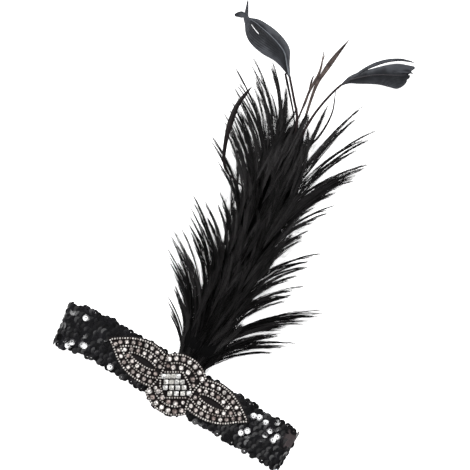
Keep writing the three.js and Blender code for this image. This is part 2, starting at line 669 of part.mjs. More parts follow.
function strip(table, wide, grow) {
  return strand(tipPath(table), 3 * (table.length - 1), stripHalfWidth(wide), STRIP_FLATNESS, grow);
}

const leftLeaf = leafFeather(
  LEFT_STEM, LEFT_BLADE, LEFT_LEAF_LENGTH, LEFT_LEAF_WIDTH, LEFT_LEAF_DIRECTION,
);
const rightLeaf = leafFeather(
  RIGHT_STEM, RIGHT_BLADE, RIGHT_LEAF_LENGTH, RIGHT_LEAF_WIDTH, RIGHT_LEAF_DIRECTION,
);
addMesh('leaf_feather_left', leftLeaf, 'leaf');
addMesh('leaf_feather_right', rightLeaf, 'leaf');
addMesh('spear_feather', strip(SPEAR_PATH, SPEAR_WIDTH_SHARE, 0), 'strip');
addMesh('split_feather', strip(SPLIT_PATH, SPLIT_WIDTH_SHARE, 0), 'strip');
addMesh('curl_feather', strip(CURL_PATH, 1, 0), 'strip');

// Plume: a flattened body with locks of barbs fused to it, cut clear of the feathers set in its tip

function plumeUnderside(y) {
  const edge = Math.max(plumeStart, BAND_WIDTH / 2 + EDGE_SCALLOP + GAP);
  const dropped = ease((y - edge) / PLUME_DROP);
  return (1 - dropped) * (BAND_TOP + GAP);
}

function plumeRing(y, leftX, rightX, bottom, top) {
  const full = (value) => Math.sign(value) * Math.abs(value) ** RING_SQUARENESS;
  const ring = [];
  for (let i = 0; i < RING_CORNERS; i++) {
    const turn = (2 * Math.PI * (i + 0.5)) / RING_CORNERS;
    const across = full(Math.cos(turn));
    const up = -full(Math.sin(turn));
    const x = (leftX + rightX) / 2 + (across * (rightX - leftX)) / 2;
    ring.push(new THREE.Vector3(x, y, (bottom + top) / 2 + (up * (top - bottom)) / 2));
  }
  return ring;
}

function plumeBody() {
  const bottom = BAND_TOP + GAP;
  const top = bottom + QUILL_THICKNESS;
  const middle = quillMiddle();
  const sections = QUILL_SECTIONS.map(({ back, wide }) => {
    const half = (QUILL_WIDTH * wide) / 2;
    return plumeRing(plumeStart - back * QUILL_TUCK, middle - half, middle + half, bottom, top);
  });
  for (const { along, left, right, deep } of PLUME_SECTIONS) {
    const { x, y } = plumeAxis(along);
    const under = plumeUnderside(y);
    const over = under + deep * PLUME_THICKNESS;
    sections.push(plumeRing(y, x - left * PLUME_SPREAD, x + right * PLUME_SPREAD, under, over));
  }
  return solid(new LoftGeometry(sections, { capStart: true, capEnd: true }));
}

function lock(from, to, bendHeight, width) {
  const bend = new THREE.Vector3(
    THREE.MathUtils.lerp(from.x, to.x, LOCK_BEND_OUT),
    THREE.MathUtils.lerp(from.y, to.y, LOCK_BEND_AHEAD),
    bendHeight,
  );
  const path = new THREE.QuadraticBezierCurve3(from, bend, to);
  const halfWidth = (share) => (width / 2) * (1 - (1 - LOCK_POINT) * share ** 1.8);
  return strand(path, LOCK_STEPS, halfWidth, LOCK_FLATNESS);
}

function sideLock({ leaves, ahead, side, wide, high: level }) {
  const root = plumeAxis(leaves);
  const width = LOCK_WIDTH * wide;
  const { under, top } = plumeDepth(leaves);
  const from = new THREE.Vector3(root.x, root.y, Math.max((under + top) / 2, under + width * LOCK_FLATNESS));
  const tipHeight = BLADE_THICKNESS + PLUME_THICKNESS * level * SIDE_LOCK_RISE;
  const to = new THREE.Vector3(root.x + side * PLUME_SPREAD, root.y + ahead * PLUME_LENGTH, tipHeight);
  return lock(from, to, THREE.MathUtils.lerp(from.z, to.z, 0.3), width);
}

function topLock(index) {
  const leaves = THREE.MathUtils.lerp(TOP_LOCK_START, TOP_LOCK_END, index / (TOP_LOCKS - 1));
  const side = index % 2 === 0 ? 1 : -1;
  const root = plumeAxis(leaves);
  const start = plumeDepth(leaves);
  const end = plumeDepth(leaves + TOP_LOCK_LENGTH);
  const tip = plumeAxis(leaves + TOP_LOCK_LENGTH);
  const reach = side * (side > 0 ? end.right : end.left) * PLUME_SPREAD * TOP_LOCK_REACH;
  const width = LOCK_WIDTH * TOP_LOCK_WIDTH;
  const from = new THREE.Vector3(root.x, root.y, start.top - width * TOP_LOCK_SINK);
  const to = new THREE.Vector3(tip.x + reach, tip.y, (end.under + end.top) / 2);
  return lock(from, to, (start.top + end.top) / 2, width);
}

// The dense part's edges, underside and top at a place along its length
function plumeDepth(share) {
  const inside = THREE.MathUtils.clamp(share, 0.001, 1);
  const next = PLUME_SECTIONS.findIndex(({ along }) => along >= inside);
  const before = PLUME_SECTIONS[next - 1];
  const after = PLUME_SECTIONS[next];
  const between = (key) => THREE.MathUtils.mapLinear(
    inside, before.along, after.along, before[key], after[key],
  );
  const under = plumeUnderside(plumeAxis(inside).y);
  const top = under + between('deep') * PLUME_THICKNESS;
  return { left: between('left'), right: between('right'), under, top };
}

const locks = SIDE_LOCKS.map(sideLock);
for (let i = 0; i < TOP_LOCKS; i++) {
  locks.push(topLock(i));
}
const feathersSetIn = join([
  stem(LEFT_STEM, GAP),
  stem(RIGHT_STEM, GAP),
  strip(SPEAR_PATH, SPEAR_WIDTH_SHARE, GAP),
  strip(SPLIT_PATH, SPLIT_WIDTH_SHARE, GAP),
  strip(CURL_PATH, 1, GAP),
]);
addMesh('hackle_plume', plumeBody().add(join(locks)).subtract(feathersSetIn), 'hackle');

export default headband;
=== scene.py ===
# Feather headband: a stretch sequin loop lying folded flat, with a beaded ornament and a hackle plume.
# Metres. X runs along the band, Y towards the plume's tip, and Z up from the surface it lies on.
# The origin is on that surface, under the middle of the ornament.

import math

import bmesh
import bpy
import numpy as np
from mathutils import Matrix, Vector, noise


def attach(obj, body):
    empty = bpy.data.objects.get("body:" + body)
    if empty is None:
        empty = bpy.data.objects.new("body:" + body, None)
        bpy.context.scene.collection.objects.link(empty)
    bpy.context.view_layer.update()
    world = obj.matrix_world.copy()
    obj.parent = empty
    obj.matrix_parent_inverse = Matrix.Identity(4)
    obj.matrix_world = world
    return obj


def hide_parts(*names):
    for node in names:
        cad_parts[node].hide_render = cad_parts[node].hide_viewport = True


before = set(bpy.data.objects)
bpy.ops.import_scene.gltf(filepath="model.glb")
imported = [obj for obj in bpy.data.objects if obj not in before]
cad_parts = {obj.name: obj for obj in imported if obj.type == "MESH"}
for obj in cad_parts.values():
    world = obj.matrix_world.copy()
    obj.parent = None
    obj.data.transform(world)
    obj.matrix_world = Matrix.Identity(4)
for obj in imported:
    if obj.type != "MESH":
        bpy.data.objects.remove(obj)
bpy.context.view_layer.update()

MM = 0.001

# Camera
# It looks straight down on the headband, which lies turned in the picture. The lens is long, so the
# picture is nearly flat.
PICTURE_WIDTH = 437.1 * MM  # seen at the surface that the headband lies on
PICTURE_MIDDLE = (-24.4 * MM, 146.7 * MM)
PICTURE_TURN = math.radians(31)
CAMERA_HEIGHT = 3.0

camera_data = bpy.data.cameras.new("camera")
camera_data.sensor_width = 36
camera_data.lens = camera_data.sensor_width * CAMERA_HEIGHT / PICTURE_WIDTH
camera_data.clip_end = 20
camera = bpy.data.objects.new("camera", camera_data)
camera.location = (*PICTURE_MIDDLE, CAMERA_HEIGHT)
camera.rotation_euler = (0, 0, PICTURE_TURN)
bpy.context.scene.collection.objects.link(camera)
bpy.context.scene.camera = camera

# Studio
# A white light table, so nothing throws a shadow, in a room that is dark overhead and pale at the
# walls. A strong softbox on the left gives the glints, and a weak one on the right the sheen.
WALL_LIGHT = 0.42
CEILING_LIGHT = 0.05
TABLE_LIGHT = 1.0
SOFTBOXES = [
    {"name": "key", "place": (-0.9, 0.55, 1.5), "side": 0.6, "power": 26.0},
    {"name": "fill", "place": (1.1, -0.35, 1.3), "side": 1.0, "power": 9.0},
    {"name": "far", "place": (0.5, 1.5, 1.2), "side": 0.6, "power": 8.0},
]
FLOOR_SIZE = 6.0


def linear(hex_colour):
    """An sRGB hex colour as linear red, green, blue and alpha."""
    parts = [int(hex_colour[i : i + 2], 16) / 255 for i in (1, 3, 5)]
    return (*[c / 12.92 if c <= 0.04045 else ((c + 0.055) / 1.055) ** 2.4 for c in parts], 1.0)


def feed(node, inputs):
    """Sets or links a node's inputs."""
    for socket, value in inputs.items():
        if isinstance(value, bpy.types.NodeSocket):
            node.id_data.links.new(value, node.inputs[socket])
        else:
            node.inputs[socket].default_value = value


def add_node(tree, kind, inputs={}, ramp=(), **settings):
    """A new node with its settings made, its inputs fed, and its ramp's stops placed and coloured."""
    node = tree.nodes.new(kind)
    for name, value in settings.items():
        setattr(node, name, value)
    feed(node, inputs)
    for i, (position, colour) in enumerate(ramp):
        stop = node.color_ramp.elements[i] if i < 2 else node.color_ramp.elements.new(position)
        stop.position, stop.color = position, linear(colour)
    return node


def new_material(name):
    """A material, its node tree and its shader."""
    material = bpy.data.materials.new(name)
    material.use_nodes = True
    return material, material.node_tree, material.node_tree.nodes["Principled BSDF"]


world = bpy.data.worlds.new("room")
world.use_nodes = True
tree = world.node_tree
direction = add_node(tree, "ShaderNodeTexCoord")
upward = add_node(tree, "ShaderNodeSeparateXYZ", {"Vector": direction.outputs["Generated"]})
light_there = add_node(
    tree, "ShaderNodeMapRange",
    {"Value": upward.outputs["Z"], "To Min": WALL_LIGHT, "To Max": CEILING_LIGHT},
)
feed(
    tree.nodes["Background"],
    {"Color": linear("#ffffff"), "Strength": light_there.outputs["Result"]},
)
bpy.context.scene.world = world
bpy.context.scene.view_settings.view_transform = "Standard"

for box in SOFTBOXES:
    light = bpy.data.lights.new(box["name"], "AREA")
    light.size = box["side"]
    light.energy = box["power"]
    lamp = bpy.data.objects.new(box["name"], light)
    lamp.location = box["place"]
    towards = Vector((*PICTURE_MIDDLE, 0)) - lamp.location
    lamp.rotation_euler = towards.to_track_quat("-Z", "Y").to_euler()
    bpy.context.scene.collection.objects.link(lamp)

# Lit acrylic: opal white sheet with lamps under it, with a faint cloudiness in it
def patterned(name, texture, pattern, ramp, look, relief=None, **settings):
    """A material coloured by a texture on the piece, with its look fed to the shader, and relief."""
    material, tree, shader = new_material(name)
    surface = add_node(tree, "ShaderNodeTexCoord").outputs["Object"]
    shade = add_node(tree, texture, {"Vector": surface, **pattern}, **settings).outputs["Fac"]
    colour = add_node(tree, "ShaderNodeValToRGB", {"Fac": shade}, ramp)
    feed(shader, {"Base Color": colour.outputs["Color"], **look})
    if relief:
        raised = add_node(tree, "ShaderNodeBump", {"Height": shade, **relief})
        feed(shader, {"Normal": raised.outputs["Normal"]})
    return material


lit_acrylic = patterned(
    "lit opal acrylic table",
    "ShaderNodeTexNoise", {"Scale": 12.0},
    [(0, "#fbfbfb"), (1, "#ffffff")],
    {"Roughness": 0.9, "Emission Color": linear("#ffffff"), "Emission Strength": TABLE_LIGHT},
)

floor_mesh = bmesh.new()
bmesh.ops.create_grid(floor_mesh, x_segments=1, y_segments=1, size=FLOOR_SIZE / 2)
floor_data = bpy.data.meshes.new("floor")
floor_mesh.to_mesh(floor_data)
floor_data.materials.append(lit_acrylic)
floor = bpy.data.objects.new("floor", floor_data)
bpy.context.scene.collection.objects.link(floor)

# Elastic band
# A stretch loop of black elastic knit, 38 mm wide and 498 mm round, that the sequins are sewn to. It
# lies folded flat, with its front half over its back half, and its left end sags a little.
LOOP_LENGTH = 498 * MM
BAND_WIDTH = 38 * MM
BAND_HEIGHT = 14 * MM
BAND_MIDDLE = -0.75 * MM
BAND_SAG = 5 * MM
BAND_SAG_LENGTH = 40 * MM
FOLD_DRAW = 6 * MM  # how far the left fold is drawn in at its lower corner
FOLD_DRAW_LENGTH = 28 * MM
WALL_MIDDLE = 1.5 * MM  # middle of the band's wall, from its outside
BEND_RADIUS = BAND_HEIGHT / 2 - WALL_MIDDLE
BAND_STRAIGHT = LOOP_LENGTH / 2 - math.pi * BEND_RADIUS
SEQUIN_LAYER = 1.6 * MM
ELASTIC_THICKNESS = 1.2 * MM
RIPPLE = 0.25 * MM  # shirring of the elastic
RIPPLE_LENGTH = 4.3 * MM
SEAM_MIDDLE = (118.6 * MM, 12 * MM)  # the loop's ends are joined here, and the knit is bare and worn
SEAM_SIZE = (5 * MM, 8 * MM)  # half its length and width
SEAM_EDGE = (0.7, 1.1)  # over its half size: the sequins end somewhere between these
KNIT_STEPS = 10  # of the mesh across the band
JOINED = 0.01 * MM  # corners nearer to each other than this become one


def within(share):
    """A share kept from 0 to 1."""
    return min(1, max(0, share))


def shaped_grid(columns, rows, place):
    """A grid whose corners go to place(u, v), with u and v from 0 to 1 kept as its UV map."""
    grid = bmesh.new()
    bmesh.ops.create_grid(grid, x_segments=columns, y_segments=rows, size=0.5, calc_uvs=False)
    uv_map = grid.loops.layers.uv.new("UVMap")
    for face in grid.faces:
        for loop in face.loops:
            loop[uv_map].uv = (loop.vert.co.x + 0.5, loop.vert.co.y + 0.5)
    for vert in grid.verts:
        vert.co = place(within(vert.co.x + 0.5), within(vert.co.y + 0.5))
    return grid


def thicken(shape, thickness, close=False):
    """Gives a sheet its thickness on the side away from its normals, and closes a loop's seam first."""
    if close:
        bmesh.ops.remove_doubles(shape, verts=shape.verts, dist=JOINED)
    area = sum(face.calc_area() for face in shape.faces)
    bmesh.ops.solidify(shape, geom=shape.faces[:], thickness=thickness)
    return area


def add_piece(name, shape, material, slot, replaced=(), smooth=True):
    """Makes a bmesh or mesh a piece of the headband, in place of the CAD nodes that it stands for."""
    if isinstance(shape, bmesh.types.BMesh):
        mesh = bpy.data.meshes.new(name)
        shape.to_mesh(mesh)
        shape.free()
    else:
        mesh = shape
    (mesh.shade_smooth if smooth else mesh.shade_flat)()
    mesh.materials.clear()
    mesh.materials.append(material)
    piece = bpy.data.objects.new(name, mesh)
    bpy.context.scene.collection.objects.link(piece)
    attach(piece, "root")
    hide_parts(*replaced)
    return piece


def on_loop(run, inset):
    """Place and outward direction, both as (x, z), at a distance once round the loop, inset from it."""
    run = run % LOOP_LENGTH
    back = run >= LOOP_LENGTH / 2
    run -= LOOP_LENGTH / 2 * back
    radius = BAND_HEIGHT / 2 - inset
    turn = max(0.0, (run - BAND_STRAIGHT) / BEND_RADIUS)
    out = Vector((math.sin(turn), math.cos(turn)))
    spot = Vector((min(run, BAND_STRAIGHT) - BAND_STRAIGHT / 2, 0)) + radius * out
    if back:
        out, spot = -out, -spot
    return spot + Vector((BAND_MIDDLE, BAND_HEIGHT / 2)), out


def band_shift(x):
    """Sideways sag of the band's left end."""
    start = BAND_MIDDLE - BAND_STRAIGHT / 2 + BAND_SAG_LENGTH
    return -BAND_SAG * within((start - x) / BAND_SAG_LENGTH) ** 2


def laid(x, across, z):
    """A place on the band once it has sagged and its left fold has been drawn in."""
    near = within((FOLD_DRAW_LENGTH - BAND_STRAIGHT / 2 - x) / FOLD_DRAW_LENGTH)
    drawn = FOLD_DRAW * near**2 * (0.5 - across / BAND_WIDTH)
    return Vector((x + drawn, across + band_shift(x), z))


def on_elastic(u, v):
    run = (1 - u) * LOOP_LENGTH
    across = (v - 0.5) * BAND_WIDTH
    ripple = RIPPLE * (1 - math.cos(2 * math.pi * run / RIPPLE_LENGTH)) / 2
    spot, _ = on_loop(run, SEQUIN_LAYER + ripple)
    return laid(spot.x, across, spot.y)


# Elastic knit: black covered rubber in fine ribs across the band, so it is matt with small ribs
elastic_knit, tree, shader = new_material("black elastic knit")
surface = add_node(tree, "ShaderNodeTexCoord").outputs["Object"]
RIB_PITCH = 1.1 * MM
WAVE_TURN = 20  # radians that a wave texture goes through in a unit of its scale
ribs = add_node(
    tree, "ShaderNodeTexWave",
    {"Vector": surface, "Scale": math.tau / (WAVE_TURN * RIB_PITCH), "Distortion": 0.6},
    bands_direction="Y",
)
worn = add_node(tree, "ShaderNodeTexNoise", {"Vector": surface, "Scale": 90.0})
black = add_node(
    tree, "ShaderNodeValToRGB", {"Fac": worn.outputs["Fac"]}, [(0, "#0d0d0f"), (1, "#1b1b1e")]
)
relief = add_node(
    tree, "ShaderNodeBump", {"Height": ribs.outputs["Fac"], "Distance": 0.3 * MM, "Strength": 0.8}
)
seam_box = (2 * SEAM_SIZE[0], 2 * SEAM_SIZE[1], 2 * BAND_HEIGHT)
from_seam = add_node(
    tree, "ShaderNodeMapping",
    {"Vector": surface, "Location": (*SEAM_MIDDLE, BAND_HEIGHT), "Scale": seam_box},
    vector_type="TEXTURE",
)
near_seam = add_node(
    tree, "ShaderNodeTexGradient", {"Vector": from_seam.outputs["Vector"]}, gradient_type="SPHERICAL"
)
at_seam = add_node(
    tree, "ShaderNodeMapRange", {"Value": near_seam.outputs["Fac"], "From Min": 0.1, "From Max": 0.4}
)
knit_colour = add_node(
    tree, "ShaderNodeMix",
    {"Factor": at_seam.outputs["Result"], "A": black.outputs["Color"], "B": linear("#4a4344")},
    data_type="RGBA",
)
feed(shader, {"Base Color": knit_colour.outputs[2], "Normal": relief.outputs["Normal"]})
feed(shader, {"Roughness": 0.85, "Specular IOR Level": 0.15})

elastic = shaped_grid(2 * round(LOOP_LENGTH / RIPPLE_LENGTH), KNIT_STEPS, on_elastic)
thicken(elastic, ELASTIC_THICKNESS, close=True)
elastic_band = add_piece("elastic_band", elastic, elastic_knit, "sequin_cloth", ["sequin_band"])

# Cup sequins
# Black PVC cups, 6 mm across with a hole in the middle, sewn in rows so that they overlap like scales.
# Each leans on the next one, and a few have turned over or hang past the edge.
SEQUIN = 6.4 * MM  # with the play of its thread
SEQUIN_CUP = 0.14 * MM
SEQUIN_HOLE = 1.2 * MM
SEQUIN_FILM = 0.12 * MM
SEQUIN_SIDES = 12
SEQUIN_ROWS = 8
SEQUIN_STEP = 4.7 * MM
SEQUIN_LEAN = (4, 20)  # degrees, away from the key light
SEQUIN_ROLL = 9
SEQUIN_SIT = 1.1 * MM  # its middle over the knit
BACK_LEAN = (6, 11)  # on the back half, which lies on the surface
LOOSE_SHARE = 0.13
LOOSE_LEAN = (4, 15)
LOOSE_ROLL = 20
OVERHANG_SHARE = 0.42
OVERHANG = (1.0 * MM, 2.4 * MM)
OVERHANG_ROLL = 10
ROW_EDGE = 1.3 * MM  # from the outer rows' middles to the band's edge
ROW_STRAY = 0.9
STEP_STRAY = 0.25
REST_SIT = 0.3 * MM  # a sequin's middle over the knit on the back half
CALM_REACH = 5 * MM  # past the ornament, where the sequins are pressed flatter
CALM_LEAN = 9
FACING_UP = 0.9  # least height of the outward direction on the front half's flat face

# Where sequins have turned towards the key light and shine white, in millimetres
SHINING = [
    (78, 13), (81, 14), (89, 11), (79.5, -3), (77, -6), (80, -10), (87, -5), (97, 9), (96, 4),
    (102.5, 0.5), (106, 6), (-104, 11), (-92.5, -14), (-103, -17), (-106, -20), (-61, -17),
]
SHINE_REACH = 2.4 * MM
SHINE_RISE = 1.2 * MM
SHINE_SCATTER = 0.04
SHEEN_PATCH = 13 * MM  # size of the patches in which the sequins are glossier and painted paler, a painted sheen
# How glossy a sequin is, and how far a painted sheen pales its colour: by chance, to a power, by its
# patch, and more where it is loose
GLOSS_AND_SHEEN = {"chance": 0.6, "power": 1.6, "patch": 0.7, "loose": 0.3}
rng = np.random.default_rng(31)


def copies(name, template, places, tones):
    """One mesh of many copies of a small shape, each with its own tone, and rim from 0 to 1 outwards."""
    corners = np.array([(*vert.co, 1.0) for vert in template.verts])
    faces = [[vert.index for vert in face.verts] for face in template.faces]
    matrices = np.array([[list(row) for row in matrix][:3] for matrix in places])
    moved = np.einsum("kij,nj->kni", matrices, corners).reshape(-1, 3)
    count = len(corners)
    all_faces = [[i + k * count for i in face] for k in range(len(places)) for face in faces]
    mesh = bpy.data.meshes.new(name)
    mesh.from_pydata(moved.tolist(), [], all_faces)
    radii = np.linalg.norm(corners[:, :2], axis=1)
    rims = np.tile(radii / radii.max(), len(places))
    for label, values in (("tone", np.repeat(tones, count)), ("rim", rims)):
        mesh.attributes.new(label, "FLOAT", "POINT").data.foreach_set("value", values.astype(np.float32))
    template.free()
    return mesh


def spun(profile, sides, close=False):
    """A profile of (radius, height) corners spun about Z, with its faces outwards."""
    shape = bmesh.new()
    verts = [shape.verts.new((radius, 0, height)) for radius, height in profile]
    ends = [*verts[1:], verts[0]] if close else verts[1:]
    for a, b in zip(verts, ends):
        shape.edges.new((a, b))
    bmesh.ops.spin(
        shape,
        geom=[*shape.verts, *shape.edges],
        axis=(0, 0, 1),
        cent=(0, 0, 0),
        angle=math.tau,
        steps=sides,
        use_merge=True,
    )
    bmesh.ops.recalc_face_normals(shape, faces=shape.faces)
    shape.verts.index_update()
    return shape


def leaned(across, out, place, lean, turn, roll=0.0):
    """Matrix at a place with Z outwards and Y across, leaned about Y after a turn about Z."""
    along = across.cross(out)
    basis = Matrix((along, across, out)).transposed().to_4x4()
    lean_first = Matrix.Rotation(roll, 4, "X") @ Matrix.Rotation(lean, 4, "Y")
    return Matrix.Translation(place) @ basis @ lean_first @ Matrix.Rotation(turn, 4, "Z")


sequin = spun(
    [(SEQUIN_HOLE / 2, 0), (SEQUIN * 0.3, SEQUIN_CUP * 0.2), (SEQUIN / 2, SEQUIN_CUP)], SEQUIN_SIDES
)
for face in sequin.faces:
    if face.normal.z < 0:
        face.normal_flip()
bmesh.ops.solidify(sequin, geom=sequin.faces[:], thickness=SEQUIN_FILM)
sequin.verts.index_update()

# Ornament's plan
# The felt and the embroidery under the beads follow one sheet, which rises over the plume's quills.
# Its outline is a round medallion, drawn in where two leaf-shaped wings run into it.
MEDALLION_RADIUS = 29.3 * MM
MEDALLION_WAIST = 18 * MM
MEDALLION_FLARE = 9.5 * MM
WING_REACH = 74.5 * MM
WING_HEIGHT = 37 * MM
WING_MIDDLE_Y = 3 * MM
EYE_LENGTH = 24 * MM
EYE_HEIGHT = 4.6 * MM
EYE_OUT = 37.5 * MM
FELT_MARGIN = 0.07
WING_OUT = [0.15, 0.30, 0.40, 0.50, 0.60, 0.70, 0.80, 0.90, 1.00]
WING_TOP = [0.34, 0.43, 0.485, 0.51, 0.48, 0.42, 0.33, 0.205, 0.06]
WING_BOTTOM = [-0.36, -0.47, -0.49, -0.485, -0.45, -0.385, -0.27, -0.105, 0.03]
GAP = 0.3 * MM
FELT_THICKNESS = 1.5 * MM
EMBROIDERY_THICKNESS = 1 * MM
FELT_TOP = BAND_HEIGHT + GAP + FELT_THICKNESS
BASE_TOP = FELT_TOP + GAP + EMBROIDERY_THICKNESS
QUILL_LIFT = 3.7 * MM
FLAT_HALF_WIDTH = 21 * MM  # of the place over the quills
FLAT_FROM = -7.3 * MM
SLOPE_ACROSS = 24.8 * MM
SLOPE_DOWN = 18.2 * MM
QUILL_MIDDLE = 1 * MM
RING_STEPS = 60  # along the upper or the lower half of a ring


def ease(share):
    return (1 - math.cos(math.pi * within(share))) / 2


def lift(x, y):
    """How far the ornament rises over the quills."""
    across = 1 - ease((abs(x - QUILL_MIDDLE) - FLAT_HALF_WIDTH) / SLOPE_ACROSS)
    return QUILL_LIFT * across * ease((y - FLAT_FROM + SLOPE_DOWN) / SLOPE_DOWN)


def smooth(xs, ys, x):
    """A smooth curve through the points (xs, ys), read at x."""
    xs, ys, x = (np.asarray(values, dtype=float) for values in (xs, ys, x))
    slopes = np.gradient(ys, xs)
    i = np.clip(np.searchsorted(xs, x) - 1, 0, len(xs) - 2)
    step = xs[i + 1] - xs[i]
    t = (x - xs[i]) / step
    first = (1 + 2 * t) * (1 - t) ** 2 * ys[i] + t * (1 - t) ** 2 * step * slopes[i]
    return first + t**2 * (3 - 2 * t) * ys[i + 1] + t**2 * (t - 1) * step * slopes[i + 1]


def medallion_half_width(y, grow=0.0):
    radius = MEDALLION_RADIUS + grow
    round_part = math.sqrt(max(0, radius**2 - y**2))
    return min(round_part, MEDALLION_WAIST + grow + MEDALLION_FLARE * (y / MEDALLION_RADIUS) ** 2)


def wing_ring(side, ring):
    """Points of a ring round a wing's eye, from the eye's edge at 0 to the wing's rim at 1."""
    middle = (WING_OUT[0] + 1) / 2
    out = middle + (1 - middle) * np.sin(np.linspace(-math.pi / 2, math.pi / 2, RING_STEPS))
    reach = (out - middle) / (1 - middle)
    eye_y = EYE_HEIGHT / 2 * np.sqrt(np.maximum(0, 1 - reach**2))
    x = (1 - ring) * (EYE_OUT + reach * EYE_LENGTH / 2) + ring * out * WING_REACH
    top = (1 - ring) * eye_y + ring * smooth(WING_OUT, WING_TOP, out) * WING_HEIGHT
    bottom = -(1 - ring) * eye_y + ring * smooth(WING_OUT, WING_BOTTOM, out) * WING_HEIGHT
    upper = np.stack([side * x, WING_MIDDLE_Y + top], axis=-1)
    lower = np.stack([side * x, WING_MIDDLE_Y + bottom], axis=-1)
    return np.concatenate([upper, lower[::-1]])


def spaced(points, count):
    """Evenly spaced points along a line of points."""
    steps = np.linalg.norm(np.diff(points, axis=0), axis=1)
    run = np.concatenate([[0], np.cumsum(steps)])
    at = np.linspace(0, run[-1], count)
    return np.stack([np.interp(at, run, points[:, k]) for k in range(points.shape[1])], axis=-1)


def length_of(points):
    return float(np.linalg.norm(np.diff(points, axis=0), axis=1).sum())


def clear_stretch(side, ring, clearance):
    """The stretch of a wing's ring that the medallion leaves clear."""
    points = wing_ring(side, ring)
    return np.array([p for p in points if abs(p[0]) > medallion_half_width(p[1], clearance)])


felt_grow = FELT_MARGIN * (WING_HEIGHT - EYE_HEIGHT) / 2
felt_rim = wing_ring(1, 1 + FELT_MARGIN)
felt_upper, felt_lower = felt_rim[:RING_STEPS], felt_rim[:RING_STEPS - 1:-1]


def felt_edges(x):
    """The felt's lower and upper edge at a place along the band."""
    low = float(np.interp(abs(x), felt_lower[:, 0], felt_lower[:, 1]))
    high = float(np.interp(abs(x), felt_upper[:, 0], felt_upper[:, 1]))
    round_part = math.sqrt(max(0, (MEDALLION_RADIUS + felt_grow) ** 2 - x**2))
    if abs(x) < medallion_half_width(round_part, felt_grow):
        return min(low, -round_part), max(high, round_part)
    return low, high


COVERED = 3.2 * MM  # sequins further than this under the felt are left out


def covered(x, y):
    """True where the felt hides a sequin."""
    if abs(x) > WING_REACH - 2 * COVERED:
        return False
    low, high = felt_edges(x)
    return low + COVERED < y < high - COVERED


def turned_to_key(spot):
    """Direction halfway between the lens and the key light."""
    towards = (Vector(SOFTBOXES[0]["place"]) - spot).normalized()
    return (towards + Vector((0, 0, 1))).normalized()


sequin_places, sequin_tones = [], []
steps_round = round(LOOP_LENGTH / SEQUIN_STEP)
for row in range(SEQUIN_ROWS):
    for step in range(steps_round):
        aside = 0.5 * (row % 2) + rng.uniform(-STEP_STRAY, STEP_STRAY)
        run = (step + aside) * LOOP_LENGTH / steps_round
        across = (row / (SEQUIN_ROWS - 1) - 0.5) * (BAND_WIDTH - 2 * ROW_EDGE)
        across += rng.uniform(-ROW_STRAY, ROW_STRAY) * MM
        resting = LOOP_LENGTH / 2 < run % LOOP_LENGTH < LOOP_LENGTH / 2 + BAND_STRAIGHT
        lean, turn = rng.uniform(*SEQUIN_LEAN), rng.uniform(0, math.tau)
        roll = rng.uniform(-SEQUIN_ROLL, SEQUIN_ROLL)
        loose = rng.random() < LOOSE_SHARE
        overhang = rng.random() < OVERHANG_SHARE and row in (0, SEQUIN_ROWS - 1)
        outwards = rng.uniform(*OVERHANG) * (1 if row else -1)
        if resting:
            lean, roll = rng.uniform(*BACK_LEAN), 0.0
        elif loose:
            lean, roll = -rng.uniform(*LOOSE_LEAN), rng.uniform(-LOOSE_ROLL, LOOSE_ROLL)
        if overhang:
            across += outwards
            roll += 0 if resting else -OVERHANG_ROLL * np.sign(outwards)
        flat_spot, out = on_loop(run, SEQUIN_LAYER - (REST_SIT if resting else SEQUIN_SIT))
        spot = laid(flat_spot.x, across, flat_spot.y)
        if not resting and covered(spot.x, spot.y) and out.y > FACING_UP:
            continue
        from_seam = [(spot[k] - SEAM_MIDDLE[k]) / SEAM_SIZE[k] for k in (0, 1)]
        if not resting and math.hypot(*from_seam) < rng.uniform(*SEAM_EDGE):
            continue
        if not resting and abs(spot.x) < WING_REACH + CALM_REACH and not overhang:
            lean, roll = min(lean, CALM_LEAN), 0.0
        away = [math.hypot(spot.x - at_x * MM, spot.y - at_y * MM) for at_x, at_y in SHINING]
        if not resting and out.y > FACING_UP and min(away) < SHINE_REACH:
            middle = spot + Vector((0, 0, SHINE_RISE))
            facing = turned_to_key(middle) + Vector(rng.normal(0, SHINE_SCATTER, 3))
            upright = facing.to_track_quat("Z", "Y").to_matrix().to_4x4()
            sequin_places.append(Matrix.Translation(middle) @ upright)
            # A glinting sequin gets the full tone: glossiest, and painted palest, a painted sheen
            sequin_tones.append(1.0)
            continue
        outward = Vector((out.x, 0, out.y))
        lean, roll = math.radians(lean), math.radians(roll)
        sequin_places.append(leaned(Vector((0, 1, 0)), outward, spot, lean, turn, roll))
        # Noise patches of gloss and painted sheen
        patch = max(0.0, noise.noise(spot / SHEEN_PATCH))
        gloss_and_sheen = GLOSS_AND_SHEEN["chance"] * rng.random() ** GLOSS_AND_SHEEN["power"] + GLOSS_AND_SHEEN["patch"] * patch
        sequin_tones.append(min(1.0, gloss_and_sheen + GLOSS_AND_SHEEN["loose"] * loose))

# PVC sequin film: black. The glossy ones glint where they lean and the dull ones don't, and the glossy
# ones are also painted a paler violet-grey, a painted sheen.
sequin_film, tree, shader = new_material("black glossy PVC sequin film")
tone = add_node(tree, "ShaderNodeAttribute", attribute_name="tone").outputs["Fac"]
